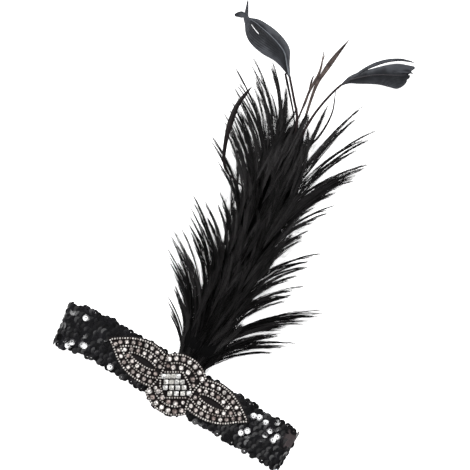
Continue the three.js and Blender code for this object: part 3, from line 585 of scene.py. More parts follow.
# The tone pales the black towards violet-grey: a painted sheen on the glossier sequins
black = add_node(tree, "ShaderNodeValToRGB", {"Fac": tone}, [(0, "#050506"), (1, "#1f1e22")])
surface = add_node(tree, "ShaderNodeTexCoord").outputs["Object"]
waves = add_node(tree, "ShaderNodeTexNoise", {"Vector": surface, "Scale": 420.0})
relief = add_node(
    tree, "ShaderNodeBump", {"Height": waves.outputs["Fac"], "Distance": 0.04 * MM, "Strength": 0.4}
)
gloss = add_node(tree, "ShaderNodeMapRange", {"Value": tone, "To Min": 0.36, "To Max": 0.18})
shine = add_node(tree, "ShaderNodeMapRange", {"Value": tone, "To Min": 0.1, "To Max": 0.75})
feed(shader, {"Base Color": black.outputs["Color"], "Normal": relief.outputs["Normal"]})
feed(shader, {"Roughness": gloss.outputs["Result"], "Specular IOR Level": shine.outputs["Result"]})
sequin_mesh = copies("cup_sequins", sequin, sequin_places, np.array(sequin_tones))
cup_sequins = add_piece("cup_sequins", sequin_mesh, sequin_film, "sequin_cloth", smooth=False)

# Felt backing
# Black wool felt, 1.5 mm thick, cut a millimetre or so past the beads and sewn to the sequin band. It
# hides the ends of the plume's quills.


def on_felt(u, v):
    x = (u - 0.5) * 2 * float(felt_upper[-1, 0])
    low, high = felt_edges(x)
    y = low + (high - low) * v
    return Vector((x, y, FELT_TOP + lift(x, y)))


# Wool felt: matted short fibres, so it is fuzzy and without gloss
wool_felt = patterned(
    "black wool felt",
    "ShaderNodeTexNoise", {"Scale": 1 / (0.8 * MM), "Detail": 6.0, "Distortion": 1.2},
    [(0, "#0c0a0b"), (1, "#242021")],
    {"Roughness": 0.95, "Specular IOR Level": 0.15, "Sheen Weight": 0.08, "Sheen Roughness": 0.6},
    relief={"Distance": 0.3 * MM, "Strength": 0.9},
)
FELT_STEPS = (90, 16)
felt = shaped_grid(*FELT_STEPS, on_felt)
felt_area = thicken(felt, FELT_THICKNESS)
felt_backing = add_piece("felt_backing", felt, wool_felt, "felt", ["applique_backing"])

# Embroidered cloth
# The beads are worked on a stiffened dark brown satin-stitched cloth in three parts: two wings, each
# round an open eye that shows the felt, and the medallion between them.


WING_STEPS, WING_RINGS = 120, 12
MEDALLION_STEPS = (24, 40)


def on_wing(side):
    """place(u, v) on a wing's cloth: u round the eye, v from the eye to the rim."""
    rings = [clear_stretch(side, k / WING_RINGS, GAP) for k in range(WING_RINGS + 1)]
    lines = [spaced(ring, WING_STEPS + 1) for ring in rings]

    def place(u, v):
        k = min(WING_RINGS - 1, int(v * WING_RINGS))
        line = lines[k] + (lines[k + 1] - lines[k]) * (v * WING_RINGS - k)
        x, y = line[round((1 - u if side > 0 else u) * WING_STEPS)]
        return Vector((x, y, BASE_TOP + lift(x, y)))

    return place


def on_medallion(u, v):
    y = -MEDALLION_RADIUS * math.cos(math.pi * v)
    x = (2 * u - 1) * medallion_half_width(y)
    return Vector((x, y, BASE_TOP + lift(x, y)))


# Satin stitch: flat shiny thread laid side by side, so it has fine cords and a dull silky light
STITCH_PITCH = 0.8 * MM  # coarser than the real 0.3 mm, so that it shows
stitches = {"Scale": math.tau / (WAVE_TURN * STITCH_PITCH), "Distortion": 2.0, "Detail": 2.0}
satin_stitch = patterned(
    "dark satin stitched cloth",
    "ShaderNodeTexWave", {"Detail Scale": 2.0, **stitches},
    [(0, "#060404"), (1, "#171011")],
    {"Roughness": 0.6, "Specular IOR Level": 0.15},
    relief={"Distance": 0.3 * MM, "Strength": 0.8},
    bands_direction="DIAGONAL",
)
for side, label in ((-1, "left"), (1, "right")):
    wing = shaped_grid(WING_STEPS, WING_RINGS, on_wing(side))
    area = thicken(wing, EMBROIDERY_THICKNESS)
    name, replaced = f"embroidery_{label}_wing", [f"beadwork_{label}_wing"]
    wing_cloth = add_piece(name, wing, satin_stitch, "beadwork", replaced)
medallion = shaped_grid(*MEDALLION_STEPS, on_medallion)
bmesh.ops.remove_doubles(medallion, verts=medallion.verts, dist=JOINED)
area = thicken(medallion, EMBROIDERY_THICKNESS)
name, replaced = "embroidery_medallion", ["beadwork_medallion"]
medallion_cloth = add_piece(name, medallion, satin_stitch, "beadwork", replaced)

# Seed beads
# Glass beads 1.75 mm across, lined with gunmetal, couched in single rows along the rings of the wings
# and the arcs of the medallion, and round the square stones.
BEAD = 1.75 * MM
BEAD_LENGTH = 1.45 * MM
BEAD_HOLE = 0.45 * MM
BEAD_PITCH = 2.35 * MM
BEAD_SIT = 0.75 * MM  # its middle over the cloth
BEAD_SIDES = 8
BEAD_STRAY = 0.2
WING_BEAD_RINGS = [0.1, 0.5, 0.95]
MEDALLION_BEAD_ARCS = [(0.955, 47), (0.69, 42)]  # radius as a share, half angle in degrees
CLUSTER_TURN = math.radians(31)
CLUSTER_EDGE = [(-14.6, -1), (-14, 11.8), (6.4, 11.8), (12.6, 0.5), (15.4, -12), (-11.3, -12),
                (-14.6, -1)]
CLUSTER_CLEAR = 1.4  # bead widths between the cluster's beads and the medallion's edge
SIDE_ROW_REACH = 17 * MM
SIDE_ROW_INSET = 0.6  # in bead widths


def arc_points(radius, middle, half_angle, count):
    turn = np.radians(np.linspace(middle - half_angle, middle + half_angle, count))
    return radius * np.stack([np.cos(turn), np.sin(turn)], axis=-1)


def row_of_beads(points):
    """Places of beads threaded along a line of points on the cloth."""
    found = []
    line = spaced(points, max(2, round(length_of(points) / BEAD_PITCH)))
    ahead = np.gradient(line, axis=0)
    for (x, y), (ahead_x, ahead_y) in zip(line, ahead):
        heading = math.atan2(ahead_y, ahead_x) + rng.uniform(-BEAD_STRAY, BEAD_STRAY)
        turn = Matrix.Rotation(heading, 4, "Z")
        spot = Vector((x, y, BASE_TOP + lift(x, y) + BEAD_SIT))
        found.append(Matrix.Translation(spot) @ turn @ Matrix.Rotation(math.pi / 2, 4, "Y"))
    return found


bead_places = []
for side in (-1, 1):
    for ring in WING_BEAD_RINGS:
        bead_places += row_of_beads(clear_stretch(side, ring, GAP + BEAD / 2))
for radius, half_angle in MEDALLION_BEAD_ARCS:
    for middle in (90, 270):
        bead_places += row_of_beads(arc_points(radius * MEDALLION_RADIUS, middle, half_angle, 40))
side_y = np.linspace(-SIDE_ROW_REACH, SIDE_ROW_REACH, 30)
side_x = np.array([medallion_half_width(y, -BEAD * SIDE_ROW_INSET) for y in side_y])
bead_places += row_of_beads(np.stack([side_x, side_y], axis=-1))
bead_places += row_of_beads(np.stack([-side_x, side_y], axis=-1))
cosine, sine = math.cos(CLUSTER_TURN), math.sin(CLUSTER_TURN)
turned = np.array([[cosine, sine], [-sine, cosine]])
for place in row_of_beads(np.array(CLUSTER_EDGE) * MM @ turned):
    x, y, _ = place.translation
    if abs(x) < medallion_half_width(y) - CLUSTER_CLEAR * BEAD:
        bead_places.append(place)

bead_profile = [(BEAD_HOLE / 2, -0.36), (BEAD * 0.36, -0.5), (BEAD / 2, -0.2)]
bead_profile += [(radius, -up) for radius, up in reversed(bead_profile)]
bead_profile = [(radius, up * BEAD_LENGTH) for radius, up in bead_profile]
bead = spun(bead_profile, BEAD_SIDES, close=True)

# Lined glass: a metal lining under clear glass, silver-grey with a warm cast and small bright lights
lined_glass, tree, shader = new_material("gunmetal lined glass beads")
tone = add_node(tree, "ShaderNodeAttribute", attribute_name="tone").outputs["Fac"]
metal = add_node(tree, "ShaderNodeValToRGB", {"Fac": tone}, [(0, "#857b76"), (1, "#fffaf5")])
surface = add_node(tree, "ShaderNodeTexCoord").outputs["Object"]
spots = add_node(tree, "ShaderNodeTexNoise", {"Vector": surface, "Scale": 900.0})
gloss = add_node(
    tree, "ShaderNodeMapRange", {"Value": spots.outputs["Fac"], "To Min": 0.16, "To Max": 0.36}
)
feed(shader, {"Base Color": metal.outputs["Color"], "Roughness": gloss.outputs["Result"]})
feed(shader, {"Metallic": 0.25, "Coat Weight": 0.7, "Coat Roughness": 0.05})
bead_mesh = copies("seed_beads", bead, bead_places, rng.random(len(bead_places)))
add_piece("seed_beads", bead_mesh, lined_glass, "beadwork")

# Round stones
# Foil-backed crystals 4 mm across on the wings and 5 mm on the medallion, in gunmetal cups with four
# claws, sewn between the bead rows. Some are clear and the others smoky, so the rows glint unevenly.
STONE = 4.7 * MM  # with its cup
LARGER = 1.2  # a medallion's stone over a wing's
SMALLER = 0.9  # and a corner's
CUP_HEIGHT = 0.9 * MM
CUP_ROOT = 0.3 * MM
CROWN_HEIGHT = 0.9 * MM
GIRDLE = 2.1 * MM
TABLE = 1.2 * MM
CLAW_WIDTH = 0.5 * MM
WING_STONE_RINGS = [(0.3, 13), (0.73, 17)]  # ring, stones
CORNER_STONES = [(-14.8, 11.2), (-14.6, -12.3), (14.4, 7.6), (14.2, -10.8), (11.6, 11.6)]
# Radius as a share of the medallion's, middle and half angle in degrees, and stones
MEDALLION_STONE_ARCS = [(0.835, 89, 46, 7), (0.55, 89, 40, 4), (0.845, 269, 44, 7), (0.59, 266, 34, 4)]
STONE_TIP = 0.09  # spread of a stone's tip, in radians


def tipped(spread):
    """A stone's tip, as each is sewn down by hand."""
    about_x = Matrix.Rotation(rng.normal(0, spread), 4, "X")
    return about_x @ Matrix.Rotation(rng.normal(0, spread), 4, "Y")


def stone_place(x, y, size=1.0):
    """A stone's matrix, turned anyhow."""
    tip, turn = tipped(STONE_TIP), Matrix.Rotation(rng.uniform(0, math.tau), 4, "Z")
    return Matrix.Translation((x, y, BASE_TOP + lift(x, y))) @ tip @ turn @ Matrix.Scale(size, 4)


def ring_of(radius, height, count, turn=0.0):
    angles = [math.tau * (i + turn) / count for i in range(count)]
    return [(radius * math.cos(a), radius * math.sin(a), height) for a in angles]


def hull(points):
    """The cut stone that has these corners."""
    shape = bmesh.new()
    for point in points:
        shape.verts.new(point)
    made = bmesh.ops.convex_hull(shape, input=shape.verts)
    bmesh.ops.delete(shape, geom=made["geom_interior"], context="VERTS")
    bmesh.ops.dissolve_limit(shape, angle_limit=math.radians(2), verts=shape.verts, edges=shape.edges)
    bmesh.ops.recalc_face_normals(shape, faces=shape.faces)
    shape.verts.index_update()
    return shape


def add_claws(shape, claws, width, foot, tip):
    """Claws round a cup: each a small bar from its foot on the wall to its tip over the stone."""
    for i in range(claws):
        made = bmesh.ops.create_cube(shape, size=1.0)["verts"]
        bmesh.ops.scale(shape, verts=made, vec=(width * 0.6, width, (tip - foot).length))
        towards = (tip - foot).normalized()
        lean = math.atan2(towards.x, towards.z)
        bmesh.ops.rotate(shape, verts=made, matrix=Matrix.Rotation(lean, 3, "Y"))
        bmesh.ops.translate(shape, verts=made, vec=(foot + tip) / 2)
        turn = Matrix.Rotation(math.tau * (i + 0.5) / claws, 3, "Z")
        bmesh.ops.rotate(shape, verts=made, matrix=turn)
    shape.verts.index_update()
    return shape


stone_places = []
for side in (-1, 1):
    for ring, count in WING_STONE_RINGS:
        line = clear_stretch(side, ring, GAP + STONE / 2)
        stone_places += [stone_place(x, y) for x, y in spaced(line, count)]
for share, middle, half_angle, count in MEDALLION_STONE_ARCS:
    line = arc_points(share * MEDALLION_RADIUS, middle, half_angle, count)
    stone_places += [stone_place(x, y, LARGER) for x, y in line]
stone_places += [stone_place(x * MM, y * MM, SMALLER) for x, y in CORNER_STONES]
stone_tones = rng.random(len(stone_places))

cup_profile = [
    (0.4, -CUP_ROOT), (0.47, -CUP_ROOT), (0.5, CUP_HEIGHT), (0.44, CUP_HEIGHT + 0.1 * MM),
    (0.4, CUP_HEIGHT * 0.5),
]
round_cup = spun([(STONE * share, height) for share, height in cup_profile], 12, close=True)
claw_foot = Vector((STONE * 0.48, 0, CUP_HEIGHT * 0.6))
claw_tip = Vector((STONE * 0.36, 0, CUP_HEIGHT + 0.62 * MM))
add_claws(round_cup, 4, CLAW_WIDTH, claw_foot, claw_tip)
round_stone = hull(
    [
        (0, 0, 0.05 * MM),
        *ring_of(GIRDLE, CUP_HEIGHT, 16),
        *ring_of(GIRDLE * 0.84, CUP_HEIGHT + 0.5 * CROWN_HEIGHT, 8, 0.5),
        *ring_of(TABLE, CUP_HEIGHT + CROWN_HEIGHT, 8),
    ]
)

# Gunmetal plate on brass: a dark warm grey metal, mottled lighter and darker at random
gunmetal = patterned(
    "gunmetal plated brass cups",
    "ShaderNodeTexNoise", {"Scale": 500.0},
    [(0, "#161212"), (1, "#4d4543")],
    {"Metallic": 1.0, "Roughness": 0.32},
)

# Foil-backed crystal: the light that the foil throws back through the facets is painted into the colour,
# each facet by its own share, a painted reflection. The smoky ones are painted darker at the rim and
# brighter in the middle, painted shade and highlight, and the clear ones nearly white all over.
PAVILION_FACET = 1.3 * MM
CRYSTALS = [
    {"name": "foil-backed smoky crystal", "foil": ("#8f807b", "#fffaf6"), "facets": 0.25,
     "shader": {"Metallic": 0.2, "Roughness": 0.07}},
    {"name": "foil-backed clear crystal", "foil": ("#e2dfd8", "#ffffff"), "facets": 0.5,
     "shader": {"Metallic": 0.35, "Roughness": 0.06}},
]
crystals = []
for crystal in CRYSTALS:
    material, tree, shader = new_material(crystal["name"])
    tone = add_node(tree, "ShaderNodeAttribute", attribute_name="tone").outputs["Fac"]
    foil = add_node(tree, "ShaderNodeValToRGB", {"Fac": tone}, list(enumerate(crystal["foil"])))
    surface = add_node(tree, "ShaderNodeTexCoord").outputs["Object"]
    # Painted reflection: a cell pattern makes each facet lighter or darker
    pavilion = add_node(
        tree, "ShaderNodeTexVoronoi", {"Vector": surface, "Scale": 1 / PAVILION_FACET}
    )
    depth = add_node(tree, "ShaderNodeSeparateColor", {"Color": pavilion.outputs["Color"]})
    facets = {"Value": depth.outputs["Red"], "To Min": crystal["facets"], "To Max": 1.7}
    painted_foil_reflection = add_node(tree, "ShaderNodeMapRange", facets).outputs["Result"]
    # Painted highlight in the middle of a smoky stone and painted shade towards its rim
    if not crystals:
        rim = add_node(tree, "ShaderNodeAttribute", attribute_name="rim").outputs["Fac"]
        core = {"Value": rim, "From Min": 0.3, "To Min": 2.0, "To Max": 0.12}
        painted_core_highlight = add_node(tree, "ShaderNodeMapRange", core).outputs["Result"]
        painted_foil_reflection = add_node(
            tree, "ShaderNodeMath", {0: painted_foil_reflection, 1: painted_core_highlight}, operation="MULTIPLY"
        ).outputs[0]
    seen = {0: foil.outputs["Color"], "Scale": painted_foil_reflection}
    seen = add_node(tree, "ShaderNodeVectorMath", seen, operation="SCALE").outputs["Vector"]
    feed(shader, {"Base Color": seen, "Coat Weight": 1.0, "Coat Roughness": 0.02})
    feed(shader, crystal["shader"])
    crystals.append(material)
smoky_crystal, clear_crystal = crystals

for label, shape, material in (
    ("round_stone_cups", round_cup, gunmetal),
    ("round_stones", round_stone, smoky_crystal),
):
    stones = copies(label, shape, stone_places, stone_tones)
    add_piece(label, stones, material, "beadwork", smooth=False)

# Square stones
# Sixteen clear square crystals in four rows, in square cups with a claw at each corner. The rows run
# aslant over the medallion and have been sewn by eye, so their steps differ.
SQUARE = 4.2 * MM
SQUARE_ROW_PITCH = 5.3 * MM
SQUARE_CUP = 1.2 * MM
SQUARE_CROWN = 1.1 * MM
SQUARE_ROWS = [(-2.72, 1.09), (-2.12, 1.17), (-2.33, 1.38), (-1.29, 1.40)]  # first, pitch in sides
STONES_PER_ROW = 4
SQUARE_CORNER = 0.8
SQUARE_TIP = 0.05
SQUARE_BOTTOM = BASE_TOP + QUILL_LIFT + GAP


def square_ring(half, height, cut=SQUARE_CORNER):
    signs = [(1, 1), (-1, 1), (-1, -1), (1, -1)]
    long_way = [(a * half, b * cut * half, height) for a, b in signs]
    return long_way + [(a * cut * half, b * half, height) for a, b in signs]


square_places = []
for row, (first, pitch) in enumerate(SQUARE_ROWS):
    for i in range(STONES_PER_ROW):
        along = (first + pitch * i) * SQUARE
        up = SQUARE_ROW_PITCH * ((len(SQUARE_ROWS) - 1) / 2 - row)
        turn = Matrix.Rotation(CLUSTER_TURN, 4, "Z")
        place = turn @ Matrix.Translation((along, up, SQUARE_BOTTOM))
        square_places.append(place @ tipped(SQUARE_TIP))

SQUARE_CUP_EDGE = 0.15 * MM  # over the stone's girdle
SQUARE_CUP_WALL = 0.25 * MM
SQUARE_CLAW_WIDTH = 0.55 * MM
cup_high = SQUARE_CUP + SQUARE_CUP_EDGE
square_cup = bmesh.new()
bmesh.ops.create_cube(square_cup, size=1.0)
bmesh.ops.scale(square_cup, verts=square_cup.verts, vec=(SQUARE, SQUARE, cup_high))
bmesh.ops.translate(square_cup, verts=square_cup.verts, vec=(0, 0, cup_high / 2))
lid = [face for face in square_cup.faces if face.normal.z > 0.5]
bmesh.ops.inset_region(square_cup, faces=lid, thickness=SQUARE_CUP_WALL, depth=0)
bmesh.ops.translate(square_cup, verts=lid[0].verts, vec=(0, 0, -0.5 * SQUARE_CUP))
claw_foot = Vector((SQUARE * 0.64, 0, SQUARE_CUP * 0.6))
claw_tip = Vector((SQUARE * 0.5, 0, SQUARE_CUP + 0.55 * MM))
add_claws(square_cup, 4, SQUARE_CLAW_WIDTH, claw_foot, claw_tip)
square_stone = hull(
    [
        (0, 0, 0.2 * MM),
        *square_ring(SQUARE * 0.52, SQUARE_CUP),
        *square_ring(SQUARE * 0.42, SQUARE_CUP + 0.55 * SQUARE_CROWN, 0.6),
        *ring_of(SQUARE * 0.3, SQUARE_CUP + SQUARE_CROWN, 8, 0.5),
    ]
)
square_nodes = [f"square_stone_{i:02d}" for i in range(1, len(square_places) + 1)]

square_tones = rng.random(len(square_places))
for label, shape, material, slot, nodes in (
    ("square_stone_cups", square_cup, gunmetal, "beadwork", []),
    ("square_stones", square_stone, clear_crystal, "clear_stone", square_nodes),
):
    stones = copies(label, shape, square_places, square_tones)
    add_piece(label, stones, material, slot, nodes, smooth=False)

# Plume
# Dyed black rooster hackles tied in a bundle, with the quills under the ornament. Their barbs lie
# forward and outward, closing into long pointed locks with the surface showing between them.
PLUME_START = 30.73 * MM
PLUME_LENGTH = 234 * MM
PLUME_SPREAD = 100 * MM
PLUME_THICKNESS = 27 * MM
PLUME_BOW = 24 * MM
BOW_POWER = 1.8
PLUME_DROP = 42 * MM
SECTION_ALONG = [0.00, 0.05, 0.13, 0.21, 0.30, 0.39, 0.52, 0.68, 0.78, 0.87, 0.95, 1.00]
SECTION_LEFT = [0.14, 0.18, 0.24, 0.25, 0.21, 0.28, 0.30, 0.35, 0.37, 0.31, 0.19, 0.12]
SECTION_RIGHT = [0.16, 0.22, 0.28, 0.25, 0.22, 0.25, 0.24, 0.28, 0.27, 0.20, 0.11, 0.06]
SECTION_DEEP = [0.12, 0.42, 0.74, 0.90, 0.96, 1.00, 1.00, 0.92, 0.80, 0.64, 0.48, 0.40]
QUILL_TUCK = 24 * MM  # length of the bundle under the ornament
CORE_WIDE = 0.72  # the packed down inside the barbs, as a share of the plume's width
CORE_DEEP = 0.7
CORE_SWELL = 0.15  # share of the plume over which the quills become down
CORE_END = 0.985
CORE_LIFT = 0.1 * MM

# Locks at the sides: where each leaves the axis and how far ahead its tip is, as shares of the
# plume's length; its tip sideways as a share of the spread; its width and height as shares
LOCK_COLUMNS = ("leaves", "ahead", "side", "wide", "high")
SIDE_LOCKS = [
    (0.02, 0.11, -0.47, 0.25, 0.55),
    (0.04, 0.18, -0.54, 0.55, 0.50),
    (0.08, 0.21, -0.70, 0.30, 0.42),
    (0.09, 0.28, -0.77, 1.00, 0.40),
    (0.15, 0.24, -0.69, 0.70, 0.60),
    (0.25, 0.20, -0.67, 0.75, 0.36),
    (0.30, 0.23, -0.74, 0.70, 0.50),
    (0.34, 0.19, -0.60, 0.80, 0.68),
    (0.40, 0.19, -0.51, 0.70, 0.40),
    (0.46, 0.20, -0.45, 0.80, 0.34),
    (0.56, 0.21, -0.81, 0.50, 0.30),
    (0.60, 0.27, -0.81, 0.85, 0.38),
    (0.67, 0.26, -0.80, 0.80, 0.28),
    (0.72, 0.26, -0.81, 1.00, 0.38),
    (0.79, 0.26, -0.88, 0.25, 0.24),
    (0.83, 0.29, -0.78, 1.00, 0.34),
    (0.86, 0.23, -0.36, 0.80, 0.30),
    (0.89, 0.25, -0.57, 0.30, 0.20),
    (0.03, 0.20, 0.72, 0.80, 0.45),
    (0.04, 0.265, 0.66, 0.85, 0.58),
    (0.09, 0.28, 0.80, 0.30, 0.40),
    (0.10, 0.22, 0.64, 0.45, 0.60),
    (0.12, 0.29, 0.84, 0.50, 0.64),
    (0.24, 0.21, 0.57, 0.85, 0.44),
    (0.30, 0.22, 0.50, 0.60, 0.60),
    (0.36, 0.23, 0.55, 0.35, 0.34),
    (0.44, 0.20, 0.35, 0.70, 0.50),
    (0.55, 0.23, 0.47, 0.45, 0.40),
    (0.59, 0.23, 0.37, 0.70, 0.62),
    (0.64, 0.29, 0.53, 0.70, 0.30),
    (0.67, 0.32, 0.58, 1.00, 0.44),
    (0.74, 0.38, 0.51, 0.55, 0.40),
    (0.83, 0.35, 0.32, 0.50, 0.34),
    (0.92, 0.18, 0.06, 0.25, 0.26),
]
LOCK_WIDTH = 17 * MM
BARB_WIDTH = 0.52 * MM
BARB_TIP = 0.12  # its tip's width over its root's
HACKLES_PER_LOCK = 6  # in the widest lock, and three more
HACKLE_WIDTH = (2.5 * MM, 5.0 * MM)  # and more in a wide lock
HACKLE_WIDENING = 5 * MM
BARBS_PER_HACKLE = 58
LAST_BARB = 0.88  # how far along its hackle the last barb starts
BARB_REACH = 0.46  # the longest barb's, as a share of its hackle
BARB_LENGTHS = (0.55, 1.0)  # as shares of the hackle that is left ahead of it
BARB_OPENING = 0.7  # power by which a barb leaves the quill
HACKLE_SHAPE = {"root": 0.65, "swell": 0.7, "point": 0.75}
BARB_WIDTHS = (0.6, 1.15)
BARB_STRAY = 0.09  # spread of the barbs' ends, as a share of the hackle's width
BARB_DEPTH = 0.16  # how far the barbs stand over or under each other, as a share of it
BARB_TONE = {"hackle": 0.8, "power": 2.6, "least": 0.06, "spread": 0.13}
HACKLE_SHORTER = (0.03, 0.32)  # than the longest in its lock
QUILL_STRAY = 5 * MM
QUILL_ASIDE = 0.4  # how far out a lock's quills start, as a share of the plume's half width
QUILLS_APART = 0.35
QUILL_HEIGHTS = (0.35, 0.75)  # as shares of the plume's depth
LOCK_TIP = {"height": 1.2 * MM, "rise": 0.25, "from": 0.6, "to": 1.6}
LOCK_BEND_HEIGHT = 0.3
TIP_PARTING = (0.02, 0.3)  # of a lock's hackles at its tip, as shares of its width
TIP_PALING = 0.35  # of the barbs towards the plume's tip
TIP_OVERRUN = 9 * MM  # barbs end a little short of a lock's tip, so it is put further out
LOCK_SET_BACK = 0.09  # how far behind its place on the axis a lock's quills start
LOCK_BEND = (0.24, 0.68)  # where a lock turns outwards, as shares of its way out and ahead
TOP_HACKLE_WIDTH = (8 * MM, 15 * MM)
TOP_HACKLE_REACH = (0.16, 0.27)  # as shares of the plume
TOP_HACKLE_END = 1.06
TOP_HEIGHTS = (0.38, 0.42)  # of its root and its tip over the plume's middle, as shares of the depth
TOP_BEND = (0.3, 0.6)
TOP_ARCH = 2.5 * MM
TIP_NARROWING = 0.65  # of these hackles towards the plume's tip
BARBS_PER_TOP_HACKLE = 92

# Hackles over and under the plume: where the first leaves it and how far on the last does, with a
# power that crowds them; their lanes, how much further out they end and where at most, as shares of
# the plume's half width, fuller on the left; and their height over its middle
HACKLE_LAYERS = [
    {"pieces": ["hackles_top_low", "hackles_top_high"], "hackles": 130, "first": -0.1, "on": 0.96,
     "power": 1.1, "lanes": (-0.35, 0.75), "out": (0.15, 0.5), "most": 1.08, "fuller": 0.0, "over": 1.0},
    {"pieces": ["hackles_under"], "hackles": 56, "first": -0.08, "on": 0.9,
     "power": 1.0, "lanes": (0.1, 0.8), "out": (0.2, 0.4), "most": 1.12, "fuller": 0.2, "over": -0.7},
]

# Soft down that stands out between the locks: its place and spread in millimetres, and its barbs
DOWN_COLUMNS = ("x", "y", "wide", "long", "barbs")
DOWN_PATCHES = [
    (22, 168, 5, 22, 260), (-38, 247, 6, 8, 140), (-10, 255, 7, 7, 140), (-22, 88, 5, 9, 120),
    (22, 62, 7, 12, 120), (-36, 150, 6, 24, 160), (-48, 215, 8, 18, 160), (-50, 186, 6, 22, 420),
    (-47, 240, 8, 12, 380), (-30, 259, 11, 8, 380), (14, 190, 6, 16, 300), (23, 122, 5, 18, 300),
]
DOWN_BARB = 9 * MM
DOWN_BARB_WIDTH = 0.16 * MM
DOWN_TURN = (0.1, 1.1)  # radians from the plume's way to its side
DOWN_LENGTHS = (0.5, 1.2)
DOWN_DROOP = (-0.3, 0.1)
DOWN_CURL = 0.16


def plume_axis(share):
    inside = max(0.0, share)
    return Vector((QUILL_MIDDLE - PLUME_BOW * inside**BOW_POWER, PLUME_START + share * PLUME_LENGTH, 0))


def plume_at(share):
    """The plume's left and right edge from its axis, and its underside and top, at a share along it."""
    inside = within(share)
    left, right, deep = (
        float(smooth(SECTION_ALONG, column, inside))
        for column in (SECTION_LEFT, SECTION_RIGHT, SECTION_DEEP)
    )
    dropped = ease(inside * PLUME_LENGTH / PLUME_DROP)
    under = (1 - dropped) * (BAND_HEIGHT + GAP)
    return left * PLUME_SPREAD, right * PLUME_SPREAD, under, under + deep * PLUME_THICKNESS


def on_core(u, v):
    """A place on the packed down and the quills behind it: u once round it and v along it."""
    along = (PLUME_LENGTH + QUILL_TUCK) * v - QUILL_TUCK
    share = along / PLUME_LENGTH
    left, right, under, top = plume_at(share)
    axis = plume_axis(share * CORE_END)
    turn = math.tau * u
    wide = 1 + (CORE_WIDE - 1) * ease(share / CORE_SWELL)
    deep = 1 + (CORE_DEEP - 1) * ease(share / CORE_SWELL)
    x = axis.x + (right - left) / 2 * wide + math.cos(turn) * (left + right) / 2 * wide
    depth = (top - under) * deep * (1 - 0.5 * v**6)
    z = under + CORE_LIFT + depth / 2 + math.sin(turn) * depth / 2
    return Vector((x, axis.y, z))


def strands(name, paths, widths, tones, sides=3):
    """Tapered strands swept along paths of points, with a tone for each or for each of its points."""
    count, points = widths.shape
    all_tones = np.broadcast_to(np.reshape(tones, (count, -1)), widths.shape)
    wires = bpy.data.meshes.new(name)
    wires.vertices.add(count * points)
    wires.vertices.foreach_set("co", paths.astype(np.float32).ravel())
    corner = np.arange(count * points).reshape(count, points)
    wires.edges.add(count * (points - 1))
    wires.edges.foreach_set("vertices", np.stack([corner[:, :-1], corner[:, 1:]], axis=-1).ravel())
    for label, values in (("half_width", widths / 2), ("tone", all_tones)):
        kept = wires.attributes.new(label, "FLOAT", "POINT")
        kept.data.foreach_set("value", values.astype(np.float32).ravel())
    holder = bpy.data.objects.new(name, wires)
    bpy.context.scene.collection.objects.link(holder)
    sweep = bpy.data.node_groups.new(name, "GeometryNodeTree")
    sweep.interface.new_socket("Geometry", in_out="INPUT", socket_type="NodeSocketGeometry")
    sweep.interface.new_socket("Geometry", in_out="OUTPUT", socket_type="NodeSocketGeometry")
    given = add_node(sweep, "NodeGroupInput")
    lines = add_node(sweep, "GeometryNodeMeshToCurve", {"Mesh": given.outputs[0]})
    half = add_node(sweep, "GeometryNodeInputNamedAttribute", {"Name": "half_width"}, data_type="FLOAT")
    ring = add_node(sweep, "GeometryNodeCurvePrimitiveCircle", {"Resolution": sides, "Radius": 1.0})
    swept = add_node(
        sweep,
        "GeometryNodeCurveToMesh",
        {
            "Curve": lines.outputs[0],
            "Profile Curve": ring.outputs["Curve"],
            "Scale": half.outputs["Attribute"],
            "Fill Caps": True,
        },
    )
    add_node(sweep, "NodeGroupOutput", {"Geometry": swept.outputs[0]})
    holder.modifiers.new("sweep", "NODES").node_group = sweep
    shown = holder.evaluated_get(bpy.context.evaluated_depsgraph_get())
    mesh = bpy.data.meshes.new_from_object(shown)
    bpy.data.objects.remove(holder)
    return mesh


def hackle(root, bend, tip, width, count, paler, points=5):
    """Paths and tones of one hackle's barbs, which leave its quill and end at its pointed edge."""
    start = rng.uniform(0, LAST_BARB, count)
    reach = np.minimum(BARB_REACH, (1 - start) * rng.uniform(*BARB_LENGTHS, count))
    side = rng.choice([-1, 1], count) * rng.uniform(0.1, 1, count)
    t = np.linspace(0, 1, points)
    u = (start[:, None] + reach[:, None] * t)[..., None]
    root, bend, tip = (np.array(point) for point in (root, bend, tip))
    centre = (1 - u) ** 2 * root + 2 * u * (1 - u) * bend + u**2 * tip
    ahead = 2 * (1 - u) * (bend - root) + 2 * u * (tip - bend)
    across = np.stack([-ahead[..., 1], ahead[..., 0], 0 * ahead[..., 0]], axis=-1)
    across /= np.linalg.norm(across, axis=-1, keepdims=True)
    half = width / 2 * (HACKLE_SHAPE["root"] + HACKLE_SHAPE["swell"] * u)
    half = half * (1 - u) ** HACKLE_SHAPE["point"]
    opened = side[:, None, None] * t[:, None] ** BARB_OPENING
    stray = rng.normal(0, BARB_STRAY, count)[:, None, None] * width * t[:, None] ** 2
    path = centre + across * (half * opened + stray)
    path[..., 2] += rng.uniform(-1, 1, count)[:, None] * width * BARB_DEPTH * (1 - 0.7 * t)
    path[..., 2] = np.maximum(path[..., 2], BARB_WIDTH)
    # Each hackle's own black, at random; the rare palest ones are a painted highlight
    whole = BARB_TONE["hackle"] * rng.random() ** BARB_TONE["power"]
    each = rng.normal(BARB_TONE["least"] + paler, BARB_TONE["spread"], count)
    return path, np.clip(whole + each, 0, 1)


def add_barbs(name, hackles, material, width=BARB_WIDTH, replaced=()):
    """One piece of many hackles' barbs."""
    paths = np.concatenate([path for path, _ in hackles])
    tones = np.concatenate([tone for _, tone in hackles])
    taper = np.linspace(1, BARB_TIP, paths.shape[1])
    widths = width * rng.uniform(*BARB_WIDTHS, len(paths))[:, None] * taper
    return add_piece(name, strands(name, paths, widths, tones), material, "hackle", replaced)


